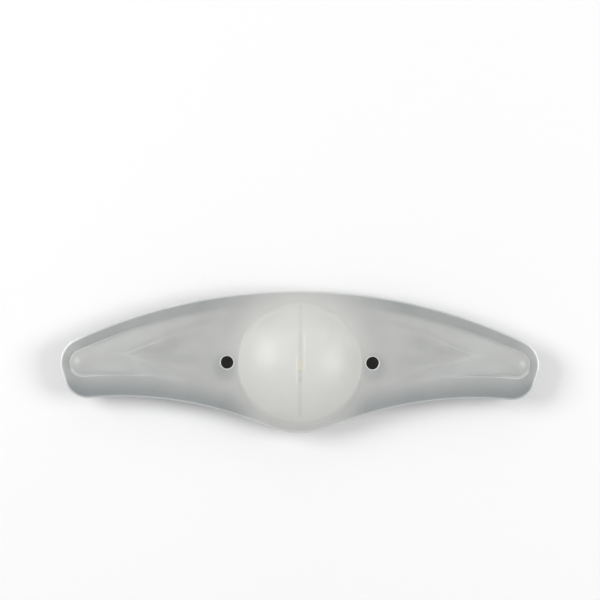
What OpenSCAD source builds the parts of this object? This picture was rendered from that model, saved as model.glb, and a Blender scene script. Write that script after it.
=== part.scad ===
// Wheel light that is tied between two spokes: two milky shells shaped like a spread wing,
// with a round core that holds a board, a cell, a push button and a covered charging socket.
// X runs from tip to tip, Y from the domed front (minus) to the button side (plus), Z is up.
// The origin lies midway between the two spoke holes, on the seam between the shells.
// All lengths are in millimetres.

/* [Outline] */
// Length from tip to tip
overall_len = 190; // [182:1:198]
// Height of the top edge above the line through the spoke holes
crown_z = 28.6; // [28:0.1:32]
// Radius of the long arc along the top edge
crown_r = 210; // [195:1:235]
// Depth of the belly below the line through the spoke holes
belly_z = 27.7; // [27.2:0.1:29.5]
// Radius of the upper corner of each tip
tip_top_r = 10; // [9:0.1:10.8]
// Radius of the lower corner of each tip
tip_low_r = 9.1; // [8.4:0.1:9.6]
// How far the lower corner of a tip stays inside the tip
tip_lean = 1.5; // [1:0.1:2]
// Radius of the hollow edge under each wing
scoop_r = 153; // [145:1:159]
// Distance from a tip to the highest point of that hollow edge
scoop_in = 24; // [22:0.5:26]
// Depth of that highest point below the line through the spoke holes
scoop_z = 13.8; // [13.2:0.1:14.6]

/* [Shells] */
// Thickness of each shell along its rim and round the spoke holes
rim_t = 1.5; // [1.4:0.05:1.8]

/* [Tongues] */
// Height of a raised tongue above the rim
tongue_h = 3.2; // [2.6:0.1:4]
// Radius of the rounded end of a tongue
tongue_r = 5.3; // [4.8:0.1:5.8]
// Rim left between a tongue's end and the tip
tongue_tip_gap = 3.5; // [3:0.1:4.2]
// Rim left between a tongue and the top edge
tongue_top_gap = 4.2; // [3.8:0.1:4.8]
// Width of the rounded wall that leads up to the top of a tongue
tongue_wall_w = 6; // [5:0.1:7]
// Distance from the middle up to which that wall is soft
wall_soft_x = 45; // [43:0.5:47]
// Distance from the middle from which that wall is fully round
wall_round_x = 80; // [77:0.5:83]
// Distance from the middle at which a tongue begins
tongue_root_x = 36; // [34:0.5:38]
// Distance from the middle at which a tongue has its full height
tongue_full_x = 60; // [55:0.5:64]
// Distance from a tip to the point where its tongue forks
fork_in = 26; // [23:0.5:29]
// Height of that point above the line through the spoke holes
fork_z = 3.3; // [2.6:0.1:4]
// Half angle of the fork, in degrees
fork_angle = 21.4; // [18:0.1:24]
// Distance over which the fork reaches its full depth
fork_soft = 7; // [5:0.1:9]
// Sideways wall left round the hollow inside a tongue
hollow_wall = 1.2; // [1:0.05:1.6]
// Distance from the middle at which that hollow begins
hollow_x = 48; // [45:0.5:52]

/* [Dome] */
// Radius of the dome's edge where it meets the wings
dome_r = 24.2; // [23.6:0.1:24.8]
// Height of the dome above the seam
dome_h = 12.5; // [11.5:0.1:14]
// Wall of the dome
dome_wall = 1.6; // [1.3:0.05:1.9]
// Radius of the opening under the dome
dome_mouth_r = 22.2; // [22:0.05:22.4]
// Distance of the board's guide ribs from the middle
rib_z = 16; // [13:0.5:18]
// Thickness of a guide rib
rib_t = 1; // [0.8:0.05:1.3]
// Length of a guide rib
rib_len = 3; // [2:0.1:4]
// Depth by which a guide rib grips the board's edge
rib_grip = 1.5; // [1:0.1:2]

/* [Spoke holes] */
// Distance between the two spoke holes
hole_gap = 57.8; // [57.4:0.1:59]
// Radius of a spoke hole
hole_r = 2.55; // [2.3:0.05:2.7]
// Wall of the collar round a spoke hole
collar_wall = 0.5; // [0.4:0.05:0.8]
// How far a collar stands above the shell
collar_rise = 0.25; // [0.15:0.05:0.4]

/* [Rear boss] */
// Radius of the boss where it starts at the seam
boss_r = 25; // [24.8:0.1:25.4]
// Height of the boss above the seam
boss_h = 9.4; // [9.2:0.1:10.2]
// Angle by which the side of the boss leans in
boss_lean = 36; // [33:0.5:38]
// Radius of the rounded edge of the boss
boss_edge_r = 2.2; // [1.8:0.1:2.4]
// Side wall of the boss
boss_wall = 1.5; // [1.3:0.05:1.7]
// Thickness of the flat top of the boss
land_wall = 2; // [1.9:0.05:2.2]

/* [Button] */
// Height of the button above the line through the spoke holes
button_z = 7.6; // [7.4:0.1:8.4]
// Radius of the button
button_r = 5.5; // [5:0.1:5.6]
// Gap between the button and its hole
button_gap = 0.15; // [0.1:0.01:0.2]
// How far the button stands above the boss
button_proud = 0.9; // [0.7:0.1:1.5]
// Width of the flange that keeps the button in
flange_w = 1.3; // [1:0.05:1.4]
// Thickness of that flange
flange_t = 0.7; // [0.6:0.05:0.8]
// Gap between the flange and the wall it rests on
flange_gap = 0.1; // [0.05:0.01:0.15]
// Travel of the button
press_travel = 0.5; // [0.3:0.05:0.55]
// Slanted edge round the button's face
button_edge = 0.4; // [0.2:0.05:0.6]
// Radius of the sealing ring's cord
ring_cord_r = 0.45; // [0.35:0.01:0.48]
// Gap between the sealing ring and the hole
ring_gap = 0.05; // [0.02:0.01:0.08]

/* [Charging port] */
// Height of the socket below the line through the spoke holes
port_z = 7; // [6.8:0.1:7.3]
// Width of the socket
usb_w = 7.5; // [7.2:0.05:7.6]
// Height of the socket above the board
usb_h = 2.5; // [2.4:0.05:2.8]
// Length of the socket
usb_len = 5; // [4.6:0.1:5.3]
// Slanted corner of the socket
usb_cut = 1; // [0.7:0.05:1.1]
// Sheet thickness of the socket
usb_sheet = 0.3; // [0.2:0.01:0.35]
// Width of the tongue inside the socket
usb_tongue_w = 3.8; // [3.6:0.05:4]
// Thickness of that tongue
usb_tongue_t = 0.6; // [0.5:0.02:0.7]
// Gap between the socket's mouth and the inside of the boss
mouth_gap = 0.3; // [0.2:0.02:0.4]
// Gap between the socket and the edge of the window in the boss
window_gap = 0.45; // [0.4:0.05:0.6]
// Width of the cover
cover_w = 6.6; // [6.2:0.1:6.8]
// Length of the cover
cover_len = 11; // [10.8:0.1:11.2]
// Thickness of the cover
cover_t = 0.9; // [0.8:0.05:1]
// Gap round and under the cover
cover_gap = 0.2; // [0.15:0.01:0.25]
// Gap round the plug on the underside of the cover
plug_gap = 0.3; // [0.25:0.01:0.4]
// Depth of that plug
plug_deep = 0.9; // [0.6:0.05:1]
// Width of the cover's strap
strap_w = 3.8; // [3.4:0.1:4]
// Distance from the cover to its hinge line
hinge_in = 1; // [1:0.05:1.2]
// Distance from the hinge line to the strap's fixed end
anchor_gap = 0.9; // [0.85:0.05:1]
// Length of the strap's fixed end
anchor_len = 1.9; // [1.8:0.05:2]
// Radius of the stud under the fixed end
stud_r = 0.8; // [0.7:0.05:0.85]

/* [Board] */
// Thickness of the board
board_t = 1.6; // [1.2:0.1:1.8]
// Gap between the board's edge and the dome
board_gap = 0.8; // [0.6:0.05:1]
// Half length of the board behind the dome
board_half = 21.8; // [21:0.1:21.8]
// Half length of the part that passes through the reflector
tail_half = 17.5; // [17:0.1:17.8]
// Gap between the board and what guides it
guide_gap = 0.1; // [0.05:0.01:0.2]

/* [Reflector] */
// Wall of the boss left round the seat of the reflector plate
seat_wall = 1.7; // [1.65:0.05:2]
// Thickness of the reflector plate
plate_t = 1.2; // [1:0.05:1.25]
// Gap round the reflector plate
plate_gap = 0.15; // [0.1:0.01:0.25]

/* [Lamps] */
// Side length of a lamp
led_side = 5; // [4.5:0.1:5.4]
// Height of a lamp
led_h = 1.6; // [1.2:0.1:2]
// Distance of the lamps in front of the seam
led_y = 3.2; // [3:0.1:4]
// Depth of the lamps below the line through the spoke holes
led_z = 1; // [0:0.1:2]
// Radius of the clear window of a lamp
led_window_r = 2; // [1.6:0.05:2.1]
// Depth of that window
led_window_h = 0.5; // [0.3:0.05:0.7]

/* [Cell] */
// Width of the cell
cell_w = 12; // [10:0.1:12.2]
// Length of the cell
cell_len = 18; // [16:0.1:18.4]
// Thickness of the cell
cell_t = 4; // [3.4:0.05:4.1]
// Radius of the cell's rounded edges
cell_edge_r = 1.2; // [0.8:0.05:1.6]
// Length of the taped end board
header_len = 2.5; // [2.2:0.1:2.8]
// Thickness of the foam pad
foam_t = 0.6; // [0.4:0.05:0.65]
// Gap between the board and the cell
cell_gap = 1.8; // [1.7:0.05:2]
// Depth of the cell's lower end below the line through the spoke holes
cell_low_z = 10.5; // [10.3:0.1:10.8]
// Radius of a lead
lead_r = 0.5; // [0.35:0.01:0.55]
// Bend radius of a lead
lead_bend = 1.5; // [1.2:0.05:1.8]

/* [Switch] */
// Length of the switch
switch_len = 7; // [6:0.1:7.2]
// Depth of the switch
switch_d = 3.5; // [3.2:0.05:3.7]
// Height of the switch above the board
switch_h = 3.5; // [3.2:0.05:4]
// Thickness of the switch's cover plate
switch_plate_t = 0.2; // [0.15:0.01:0.24]
// Radius of the plunger
plunger_r = 1.2; // [1:0.05:1.3]
// How far the plunger stands out of the switch
plunger_out = 0.95; // [0.9:0.01:1.1]
// Length of the plunger inside the switch
plunger_in = 1.2; // [1:0.05:1.3]
// Gap between the plunger and its bore
plunger_gap = 0.06; // [0.04:0.01:0.08]
// Gap between the plunger and the button
press_gap = 0.05; // [0.02:0.01:0.08]
// Length of the soldered tabs of the switch
tab_len = 1; // [0.8:0.05:1.1]

/* [Chips] */
// Side length of the controller
chip_side = 3; // [2.8:0.05:3.1]
// Height of the controller
chip_h = 0.95; // [0.8:0.05:1.1]
// Length of the small chips
sot_len = 2.9; // [2.7:0.05:3]
// Width of the small chips
sot_w = 1.4; // [1.2:0.05:1.6]
// Height of the small chips
sot_h = 1; // [0.8:0.05:1.1]
// Sheet thickness of the pins
pin_t = 0.15; // [0.1:0.01:0.2]
// Reach of the pins beyond a chip
pin_reach = 0.7; // [0.5:0.05:0.75]
// Depth of the controller below the line through the spoke holes
chip_drop = 4; // [3.8:0.05:4.2]
// Distance of the charging chip from the lower end of the board's tail
charger_in = 3.1; // [2.6:0.1:3.4]
// Height of the lowest transistor above the line through the spoke holes
driver_low_z = 0.3; // [0.2:0.05:0.4]
// Distance between the transistors
driver_pitch = 3.6; // [3.4:0.05:3.7]
// Depth of the first row of resistors below the line through the spoke holes
resistor_drop = 8.4; // [8:0.1:8.6]
// Distance between the rows of resistors
resistor_pitch = 2.5; // [2:0.1:2.8]
// Length of a resistor
resistor_len = 1.6; // [1.4:0.05:1.7]
// Width of a resistor
resistor_w = 0.8; // [0.7:0.05:0.9]
// Height of a resistor
resistor_h = 0.45; // [0.4:0.05:0.5]
// Length of a capacitor
capacitor_len = 2; // [1.8:0.05:2.1]
// Width of a capacitor
capacitor_w = 1.25; // [1:0.05:1.4]
// Height of a capacitor
capacitor_h = 0.9; // [0.7:0.05:1]
// Distance of the upper capacitors from the switch
capacitor_gap = 2.5; // [2.2:0.1:2.6]
// Distance of paired parts from the middle of the board's tail
pair_y = 1; // [0.8:0.05:1.1]

/* [Hidden] */
$fn = 96;
// Overcut that keeps cutting faces apart
eps = 0.05;
big = 400;
half_len = overall_len / 2;
hole_x = hole_gap / 2;

// Arc centres of the outline, as [x, z], and the angles at which a tip is sampled
crown_c = [0, crown_z - crown_r];
tip_angles = [11, 22, 33, 44, 54, 63, 71, 78, 83, 86.5];
tip_top_x = half_len - tip_top_r * sin(tip_angles[len(tip_angles) - 1]);
tip_top_c = [tip_top_x, crown_c.y + sqrt(pow(crown_r - tip_top_r, 2) - pow(tip_top_x, 2))];
scoop_c = [half_len - scoop_in, -scoop_z - scoop_r];
tip_low_x = half_len - tip_lean - tip_low_r;
tip_low_c = [tip_low_x, scoop_c.y + sqrt(pow(scoop_r + tip_low_r, 2) - pow(tip_low_x - scoop_c.x, 2))];
belly_k = -belly_z - scoop_c.y;
belly_r = (pow(scoop_c.x, 2) + pow(belly_k, 2) - pow(scoop_r, 2)) / (2 * (scoop_r - belly_k));
belly_c = [0, belly_r - belly_z];

// Where one arc of the outline hands over to the next
crown_end_x = tip_top_x * crown_r / (crown_r - tip_top_r);
belly_end_x = scoop_c.x * belly_r / (belly_r + scoop_r);
scoop_end_x = scoop_c.x + (tip_low_x - scoop_c.x) * scoop_r / (scoop_r + tip_low_r);
tip_span = tip_top_c - tip_low_c;
side_angle = atan2(tip_span.y, tip_span.x) - acos((tip_low_r - tip_top_r) / norm(tip_span));
side_low = tip_low_c + tip_low_r * [cos(side_angle), sin(side_angle)];
side_top = tip_top_c + tip_top_r * [cos(side_angle), sin(side_angle)];

// Border of a tongue: an arc inside the top edge, a round end and an arc above the hollow edge
border_top_r = crown_r - tongue_top_gap;
tongue_x = half_len - tongue_tip_gap - tongue_r;
tongue_c = [tongue_x, crown_c.y + sqrt(pow(border_top_r - tongue_r, 2) - pow(tongue_x, 2))];
border_low_r = norm(tongue_c - scoop_c) - tongue_r;
fork_c = [half_len - fork_in, fork_z];

// Dome, a cap of one sphere
cap_h = dome_h - rim_t;
sphere_r = (dome_r * dome_r + cap_h * cap_h) / (2 * cap_h);
sphere_y = sphere_r - dome_h;
sphere_in_r = sphere_r - dome_wall;
board_r = sphere_in_r - board_gap;
plate_r = boss_r - seat_wall - plate_gap;

// Stack behind the flat top of the boss
land_in_y = boss_h - land_wall;
flange_top_y = land_in_y - flange_gap;
flange_low_y = flange_top_y - flange_t;
plunger_top_y = flange_low_y - press_gap;
switch_top_y = plunger_top_y - plunger_out;
tail_end_y = flange_low_y - press_travel - 0.3;
tail_mid_y = (plate_t + tail_end_y) / 2;
face_x = board_t / 2;
button_hole_r = button_r + button_gap;
button_top_y = boss_h + button_proud;
ring_r = button_hole_r - ring_gap - ring_cord_r;
ring_y = boss_h - ring_cord_r - 0.45;
switch_x = -face_x - switch_h / 2;

// Charging port, its cover and the hinge line of the cover
port_x = -face_x - usb_h / 2;
mouth_y = land_in_y - mouth_gap;
cover_top_y = boss_h - 0.05;
cover_low_y = cover_top_y - cover_t;
recess_y = cover_low_y - 0.05;
cover_mid_z = -port_z + 0.1;
cover_low_z = cover_mid_z - cover_len / 2;
hinge_y = (cover_top_y + cover_low_y) / 2;
hinge_z = cover_low_z - hinge_in;
anchor_top_z = hinge_z - anchor_gap;
stud_z = anchor_top_z - anchor_len / 2;

// Cell behind the reflector, beside the board
cell_x = face_x + cell_gap;
cell_y = plate_t + foam_t;
cell_top_z = cell_len - cell_low_z;
header_top_z = cell_top_z + header_len;
lead_x = cell_x + lead_bend + 0.6;
lead_z = header_top_z + 0.6;
red_y = cell_y + cell_t / 2 - 0.75;
black_y = cell_y + cell_t / 2 + 0.75;
joint_h = 0.7;
joint_r = lead_r + 0.22;

// Sampling: shares across a tongue and across its hollow, steps along them, angles round their ends
tongue_shares = [0, 0.04, 0.1, 0.2, 0.34, 0.5, 0.66, 0.8, 0.9, 0.96, 1];
hollow_shares = [0, 0.08, 0.2, 0.35, 0.5, 0.65, 0.8, 0.92, 1];
edge_steps = 22;
tongue_steps = 12;
hollow_steps = 8;
end_angles = [18, 35, 50, 63, 74, 83];
// How far the body of a tongue is sunk into the rim, and the least depth of its hollow
sink = 0.25;
hollow_min = 0.4;

// Smooth step from 0 at a to 1 at b
function ease(a, b, v) = let (t = min(max((v - a) / (b - a), 0), 1)) t * t * (3 - 2 * t);
function mix(a, b, t) = a + (b - a) * t;
// Height of an arc's upper or lower half at x
function arc_up(c, r, x) = c.y + sqrt(max(r * r - pow(x - c.x, 2), 0));
function arc_down(c, r, x) = c.y - sqrt(max(r * r - pow(x - c.x, 2), 0));

// Upper and lower edge of the outline at a distance x from the middle
function edge_top(x) = x < crown_end_x ? arc_up(crown_c, crown_r, x) : arc_up(tip_top_c, tip_top_r, x);
function edge_low(x) =
    x < belly_end_x ? arc_down(belly_c, belly_r, x)
    : x < scoop_end_x ? arc_up(scoop_c, scoop_r, x)
    : x < side_low.x ? arc_down(tip_low_c, tip_low_r, x)
    : x < side_top.x ? mix(side_low.y, side_top.y, (x - side_low.x) / (side_top.x - side_low.x))
    : arc_down(tip_top_c, tip_top_r, x);

// Upper and lower border of a tongue, moved in by inset
function border_top(x, inset) =
    let (r = border_top_r - inset, end = tongue_x * r / (border_top_r - tongue_r))
    x < end ? arc_up(crown_c, r, x) : arc_up(tongue_c, tongue_r - inset, x);
function border_low(x, inset) =
    let (r = border_low_r + inset)
    x < scoop_c.x + (tongue_x - scoop_c.x) * r / (border_low_r + tongue_r)
    ? arc_up(scoop_c, r, x) : arc_down(tongue_c, tongue_r - inset, x);

// Whether a point lies past the line from c through the centre of the tongue's round end
function past_end(p, c) = (p.x - c.x) * (tongue_c.y - c.y) > (p.y - c.y) * (tongue_c.x - c.x);
// Distance of a point from the border of its tongue, positive inside
function border_depth(p) =
    past_end(p, crown_c) && past_end(p, scoop_c) ? tongue_r - norm(p - tongue_c)
    : min(border_top_r - norm(p - crown_c), norm(p - scoop_c) - border_low_r);
// Wall of a tongue: round near the tip, softer towards the middle
function wall_rise(x, t) = mix(ease(0, 1, t), sqrt(1 - pow(1 - t, 2)), ease(wall_soft_x, wall_round_x, x));
// How far the fork has cut into the tongue, 0 to 1
function fork_cut(p, inset) =
    ease(0, fork_soft, (fork_c.x - p.x) * tan(fork_angle) - abs(p.y - fork_c.y) + inset);
// Height of a tongue above the rim
function tongue_rise(p, inset) =
    let (t = min(max((border_depth(p) - inset) / tongue_wall_w, 0), 1))
    tongue_h * ease(tongue_root_x, tongue_full_x, p.x) * wall_rise(p.x, t) * (1 - fork_cut(p, inset));

// Outline of the wings as points [x, z]
edge_xs = concat([for (i = [0:edge_steps]) tip_top_x * i / edge_steps],
    [for (a = tip_angles) tip_top_x + tip_top_r * sin(a)]);
last_x = len(edge_xs) - 1;
outline_pts = concat([for (x = edge_xs) [x, edge_top(x)]],
    [for (i = [last_x:-1:0]) [edge_xs[i], edge_low(edge_xs[i])]],
    [for (i = [1:last_x]) [-edge_xs[i], edge_low(edge_xs[i])]],
    [for (i = [last_x:-1:1]) [-edge_xs[i], edge_top(edge_xs[i])]]);

// Samples [x, z, height] along a tongue and along its hollow, from the root to the round end
function along(start, inset, steps) = concat([for (i = [0:steps]) mix(start, tongue_x, i / steps)],
    [for (a = end_angles) tongue_x + (tongue_r - inset) * sin(a)]);
tongue_rows = [for (x = along(tongue_root_x, 0, tongue_steps))
    [for (s = tongue_shares) let (z = mix(border_low(x, 0), border_top(x, 0), s))
        [x, z, rim_t - sink + tongue_rise([x, z], 0)]]];
hollow_rows = [for (x = along(hollow_x, hollow_wall, hollow_steps))
    [for (s = hollow_shares) let (z = mix(border_low(x, hollow_wall), border_top(x, hollow_wall), s))
        [x, z, max(hollow_min, tongue_rise([x, z], hollow_wall) - sink)]]];

// Two triangles of a four-cornered face
function split(a, b, c, d) = [[a, b, c], [a, c, d]];
// Closed body between a flat back at y = back and a sampled front at y = -height
module sampled_body(rows, back) {
    n = len(rows);
    m = len(rows[0]);
    k = n * m;
    front_pts = [for (row = rows) for (p = row) [p.x, -p.z, p.y]];
    back_pts = [for (row = rows) for (p = row) [p.x, back, p.y]];
    front = [for (i = [0:n - 2]) for (j = [0:m - 2])
        let (a = i * m + j) each split(a, a + 1, a + m + 1, a + m)];
    behind = [for (i = [0:n - 2]) for (j = [0:m - 2])
        let (a = k + i * m + j) each split(a, a + m, a + m + 1, a + 1)];
    low = [for (i = [0:n - 2]) let (a = i * m) each split(a, a + m, a + m + k, a + k)];
    top = [for (i = [0:n - 2]) let (a = i * m + m - 1) each split(a + m, a, a + k, a + m + k)];
    first = [for (j = [0:m - 2]) each split(j + 1, j, j + k, j + 1 + k)];
    last = [for (j = [0:m - 2]) let (a = (n - 1) * m + j) each split(a, a + 1, a + 1 + k, a + k)];
    polyhedron(points = concat(front_pts, back_pts), faces = concat(front, behind, low, top, first, last));
}

// Sketches: to_front draws x, z and grows to the front, to_back grows to the back,
// to_side draws y, z and grows to the right
module to_front() {
    rotate([90, 0, 0]) children();
}
module to_back() {
    mirror([0, 1, 0]) to_front() children();
}
module to_side() {
    rotate([90, 0, 90]) children();
}
// Round bar along Y
module bar_y(r, y0, y1, x, z) {
    translate([x, y0, z]) rotate([-90, 0, 0]) cylinder(r = r, h = y1 - y0);
}
// Box from one corner to the other
module box(a, b) {
    translate(a) cube(b - a);
}
// Rectangle with round corners, centred
module round_rect(w, h, r) {
    square([w - 2 * r, h], center = true);
    square([w, h - 2 * r], center = true);
    for (sx = [-1, 1])
        for (sy = [-1, 1])
            translate([sx * (w / 2 - r), sy * (h / 2 - r)]) circle(r);
}

// Both wings of one shell, without the dome
module wings() {
    to_front() linear_extrude(rim_t) polygon(outline_pts);
    for (side = [0, 1])
        mirror([side, 0, 0]) sampled_body(tongue_rows, -rim_t / 4);
}
// Hollows inside both tongues, reaching past the seam so that they cut through it
module tongue_hollows() {
    for (side = [0, 1])
        mirror([side, 0, 0]) sampled_body(hollow_rows, 1);
}
// Part of the dome's sphere in front of the seam
module dome_cap(r, over) {
    intersection() {
        translate([0, sphere_y, 0]) sphere(r);
        box([-big, -big, -big], [big, over, big]);
    }
}
// Collars and bores of the two spoke holes
module collars() {
    for (side = [-1, 1])
        bar_y(hole_r + collar_wall, -rim_t - collar_rise, 0, side * hole_x, 0);
}
module spoke_bores() {
    for (side = [-1, 1])
        bar_y(hole_r, -20, 20, side * hole_x, 0);
}
// Ribs in the dome that hold the board's front edge
module guide_ribs() {
    intersection() {
        difference() {
            dome_cap(sphere_r - dome_wall / 2, 0);
            dome_cap(board_r - rib_grip, eps);
        }
        for (side = [-1, 1])
            for (up = [-1, 1])
                translate([side * (face_x + guide_gap + rib_t / 2), -20, up * rib_z])
                    cube([rib_t, 40, rib_len], center = true);
    }
}

// Front moulding: wings and dome
module front_shell() {
    color("gainsboro") {
        difference() {
            union() {
                wings();
                dome_cap(sphere_r, 0);
                collars();
            }
            tongue_hollows();
            intersection() {
                dome_cap(sphere_in_r, eps);
                bar_y(dome_mouth_r, -30, 1, 0, 0);
            }
            spoke_bores();
        }
        guide_ribs();
    }
}

// Half section of the boss, moved in from its side and its top
function boss_section(side_in, top_in, edge_r, low) =
    let (h = boss_h - top_in, k = boss_r * cos(boss_lean) - side_in)
    let (c = [(k - edge_r - sin(boss_lean) * (h - edge_r)) / cos(boss_lean), h - edge_r])
    concat([[0, low], [(k - sin(boss_lean) * low) / cos(boss_lean), low]],
        [for (i = [0:6]) let (a = mix(boss_lean, 90, i / 6)) c + edge_r * [cos(a), sin(a)]], [[0, h]]);
module boss_body(side_in, top_in, edge_r, low) {
    rotate([-90, 0, 0]) rotate_extrude() polygon(boss_section(side_in, top_in, edge_r, low));
}
// Pocket in the boss for the cover, its strap and the window to the socket
module port_cut() {
    recess_w = cover_w + 2 * cover_gap;
    recess_low_z = cover_low_z - 0.5;
    recess_top_z = cover_mid_z + cover_len / 2 + cover_gap;
    strap_low_z = anchor_top_z - anchor_len - cover_gap;
    strap_half = strap_w / 2 + cover_gap;
    translate([port_x, recess_y, (recess_top_z + recess_low_z) / 2])
        to_back() linear_extrude(5) round_rect(recess_w, recess_top_z - recess_low_z, 1);
    box([port_x - strap_half, recess_y, strap_low_z],
        [port_x + strap_half, recess_y + 5, recess_low_z + 1.5]);
    translate([port_x, land_in_y - 1, -port_z])
        to_back() linear_extrude(5) round_rect(usb_h + 2 * window_gap, usb_w + 2 * window_gap, 0.8);
    bar_y(stud_r + 0.05, land_in_y - 1, recess_y + 1, port_x, stud_z);
}

// Rear moulding: wings and flat boss with the button hole and the port
module rear_shell() {
    color("gainsboro") difference() {
        union() {
            mirror([0, 1, 0]) wings();
            boss_body(0, 0, boss_edge_r, 0);
            mirror([0, 1, 0]) collars();
        }
        mirror([0, 1, 0]) tongue_hollows();
        boss_body(boss_wall, land_wall, boss_edge_r - boss_wall, -1);
        bar_y(plate_r + plate_gap, -1, plate_t + eps, 0, 0);
        bar_y(button_hole_r, land_in_y - 1, boss_h + 1, 0, button_z);
        port_cut();
        spoke_bores();
    }
}

// White disc behind the dome, slotted for the board
module reflector_plate() {
    slot_w = board_t + 2 * guide_gap;
    slot_len = 2 * (tail_half + guide_gap);
    color("white") difference() {
        bar_y(plate_r, 0, plate_t, 0, 0);
        translate([-slot_w / 2, -1, -slot_len / 2]) cube([slot_w, plate_t + 2, slot_len]);
    }
}

// Board seen edge-on: its front follows the dome, its tail passes through the reflector
module circuit_board() {
    color("silver") translate([-face_x, 0, 0]) to_side() linear_extrude(board_t) {
        intersection() {
            translate([sphere_y, 0]) circle(board_r);
            translate([-30, -board_half]) square([30, 2 * board_half]);
        }
        translate([-eps, -tail_half]) square([tail_end_y + eps, 2 * tail_half]);
    }
}

// Lamp body on the right face of the board
module lamp() {
    difference() {
        translate([face_x, -led_y - led_side / 2, -led_z - led_side / 2]) cube([led_h, led_side, led_side]);
        translate([face_x + led_h - led_window_h, -led_y, -led_z])
            rotate([0, 90, 0]) cylinder(r = led_window_r, h = led_window_h + 1);
    }
}
// Clear filling of that lamp
module lamp_window() {
    translate([face_x + led_h - led_window_h, -led_y, -led_z])
        rotate([0, 90, 0]) cylinder(r = led_window_r, h = led_window_h);
}
// Lamps shining into the right and left wing
module right_led() {
    color("ivory") lamp();
}
module left_led() {
    color("ivory") mirror([1, 0, 0]) lamp();
}
module right_led_lens() {
    color("gold") lamp_window();
}
module left_led_lens() {
    color("gold") mirror([1, 0, 0]) lamp_window();
}

// Pouch cell that lies behind the reflector, right of the board
module battery_cell() {
    color("lightgrey") translate([cell_x + cell_w / 2, cell_y + cell_t / 2, -cell_low_z])
        linear_extrude(cell_len) round_rect(cell_w, cell_t, cell_edge_r);
}
// Taped end board of the cell
module cell_header() {
    color("goldenrod") translate([cell_x + cell_w / 2, cell_y + cell_t / 2, cell_top_z])
        linear_extrude(header_len) round_rect(cell_w, cell_t, cell_edge_r);
}
// Sticky foam between the cell and the reflector
module foam_pad() {
    color("dimgrey") box([cell_x + cell_edge_r, plate_t, -cell_low_z + 1],
        [cell_x + cell_w - cell_edge_r, cell_y, cell_top_z - 1]);
}
// Wire from the end of the cell to the board, at depth y
module lead(y) {
    low = header_top_z;
    translate([lead_x, y, low]) cylinder(r = lead_r, h = lead_z - low);
    translate([lead_x - lead_bend, y, lead_z])
        rotate([90, 0, 0]) rotate_extrude(angle = 90) translate([lead_bend, 0]) circle(lead_r);
    translate([face_x + joint_h, y, lead_z + lead_bend])
        rotate([0, 90, 0]) cylinder(r = lead_r, h = lead_x - lead_bend - face_x - joint_h);
}
module red_lead() {
    color("red") lead(red_y);
}
module black_lead() {
    color("black") lead(black_y);
}
// Soldered ends of the two wires
module lead_joints() {
    color("silver") for (y = [red_y, black_y])
        translate([face_x, y, lead_z + lead_bend])
            rotate([0, 90, 0]) cylinder(r1 = joint_r, r2 = lead_r, h = joint_h);
}

// Outline of the socket in x, z, moved in by inset
module usb_outline(inset) {
    w = usb_w / 2 - inset;
    near = -face_x - inset;
    far = -face_x - usb_h + inset;
    polygon([[near, w], [near, -w], [far + usb_cut, -w],
        [far, -w + usb_cut], [far, w - usb_cut], [far + usb_cut, w]]);
}
// Metal sleeve of the charging socket, closed at its inner end
module usb_shell() {
    color("silver") difference() {
        translate([0, mouth_y - usb_len, -port_z]) to_back() linear_extrude(usb_len) usb_outline(0);
        translate([0, mouth_y - usb_len + usb_sheet, -port_z])
            to_back() linear_extrude(usb_len) usb_outline(usb_sheet);
    }
}
// Insulating block and tongue inside the sleeve
usb_block_y = mouth_y - usb_len + usb_sheet;
usb_block_t = 0.9;
module usb_tongue() {
    color("black") {
        translate([0, usb_block_y, -port_z]) to_back() linear_extrude(usb_block_t) usb_outline(usb_sheet);
        translate([port_x - usb_tongue_t / 2, usb_block_y, -port_z - usb_tongue_w / 2])
            cube([usb_tongue_t, usb_len - usb_sheet - 0.8, usb_tongue_w]);
    }
}
// Five sprung contacts on the tongue
module usb_contacts() {
    color("gold") for (i = [-2:2])
        translate([port_x - usb_tongue_t / 2 - 0.12, usb_block_y + usb_block_t, -port_z + 0.65 * i - 0.17])
            cube([0.12, usb_len - usb_sheet - 2, 0.34]);
}

// Soft cover over the socket, turning about its strap
module port_cover() {
    color("whitesmoke") {
        difference() {
            translate([port_x, cover_low_y, cover_mid_z])
                to_back() linear_extrude(cover_t) round_rect(cover_w, cover_len, 1);
            translate([port_x, cover_top_y, cover_mid_z + cover_len / 2])
                rotate([0, 90, 0]) cylinder(r = 0.45, h = 3, center = true);
        }
        translate([port_x, cover_low_y - plug_deep, -port_z])
            to_back() linear_extrude(plug_deep + eps)
            round_rect(usb_h + 2 * (window_gap - plug_gap), usb_w + 2 * (window_gap - plug_gap), 0.6);
        box([port_x - strap_w / 2, cover_low_y, hinge_z],
            [port_x + strap_w / 2, cover_top_y, cover_low_z + eps]);
        translate([port_x, hinge_y, hinge_z])
            rotate([0, 90, 0]) cylinder(r = cover_t / 2, h = strap_w, center = true);
    }
}
// Fixed end of the cover's strap, with a stud through the boss and a head behind it
module cover_anchor() {
    color("whitesmoke") {
        box([port_x - strap_w / 2, cover_low_y, anchor_top_z - anchor_len],
            [port_x + strap_w / 2, cover_top_y, anchor_top_z]);
        bar_y(stud_r, land_in_y - 0.1, cover_low_y + eps, port_x, stud_z);
        bar_y(stud_r + 0.4, land_in_y - 0.6, land_in_y - 0.05, port_x, stud_z);
    }
}

// Key switch at the rear edge of the board, under the button
module switch_body() {
    color("dimgrey") difference() {
        box([-face_x - switch_h, switch_top_y - switch_d, button_z - switch_len / 2],
            [-face_x, switch_top_y, button_z + switch_len / 2]);
        bar_y(plunger_r + plunger_gap, switch_top_y - plunger_in - press_travel - 0.2, switch_top_y + 1,
            switch_x, button_z);
    }
}
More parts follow.
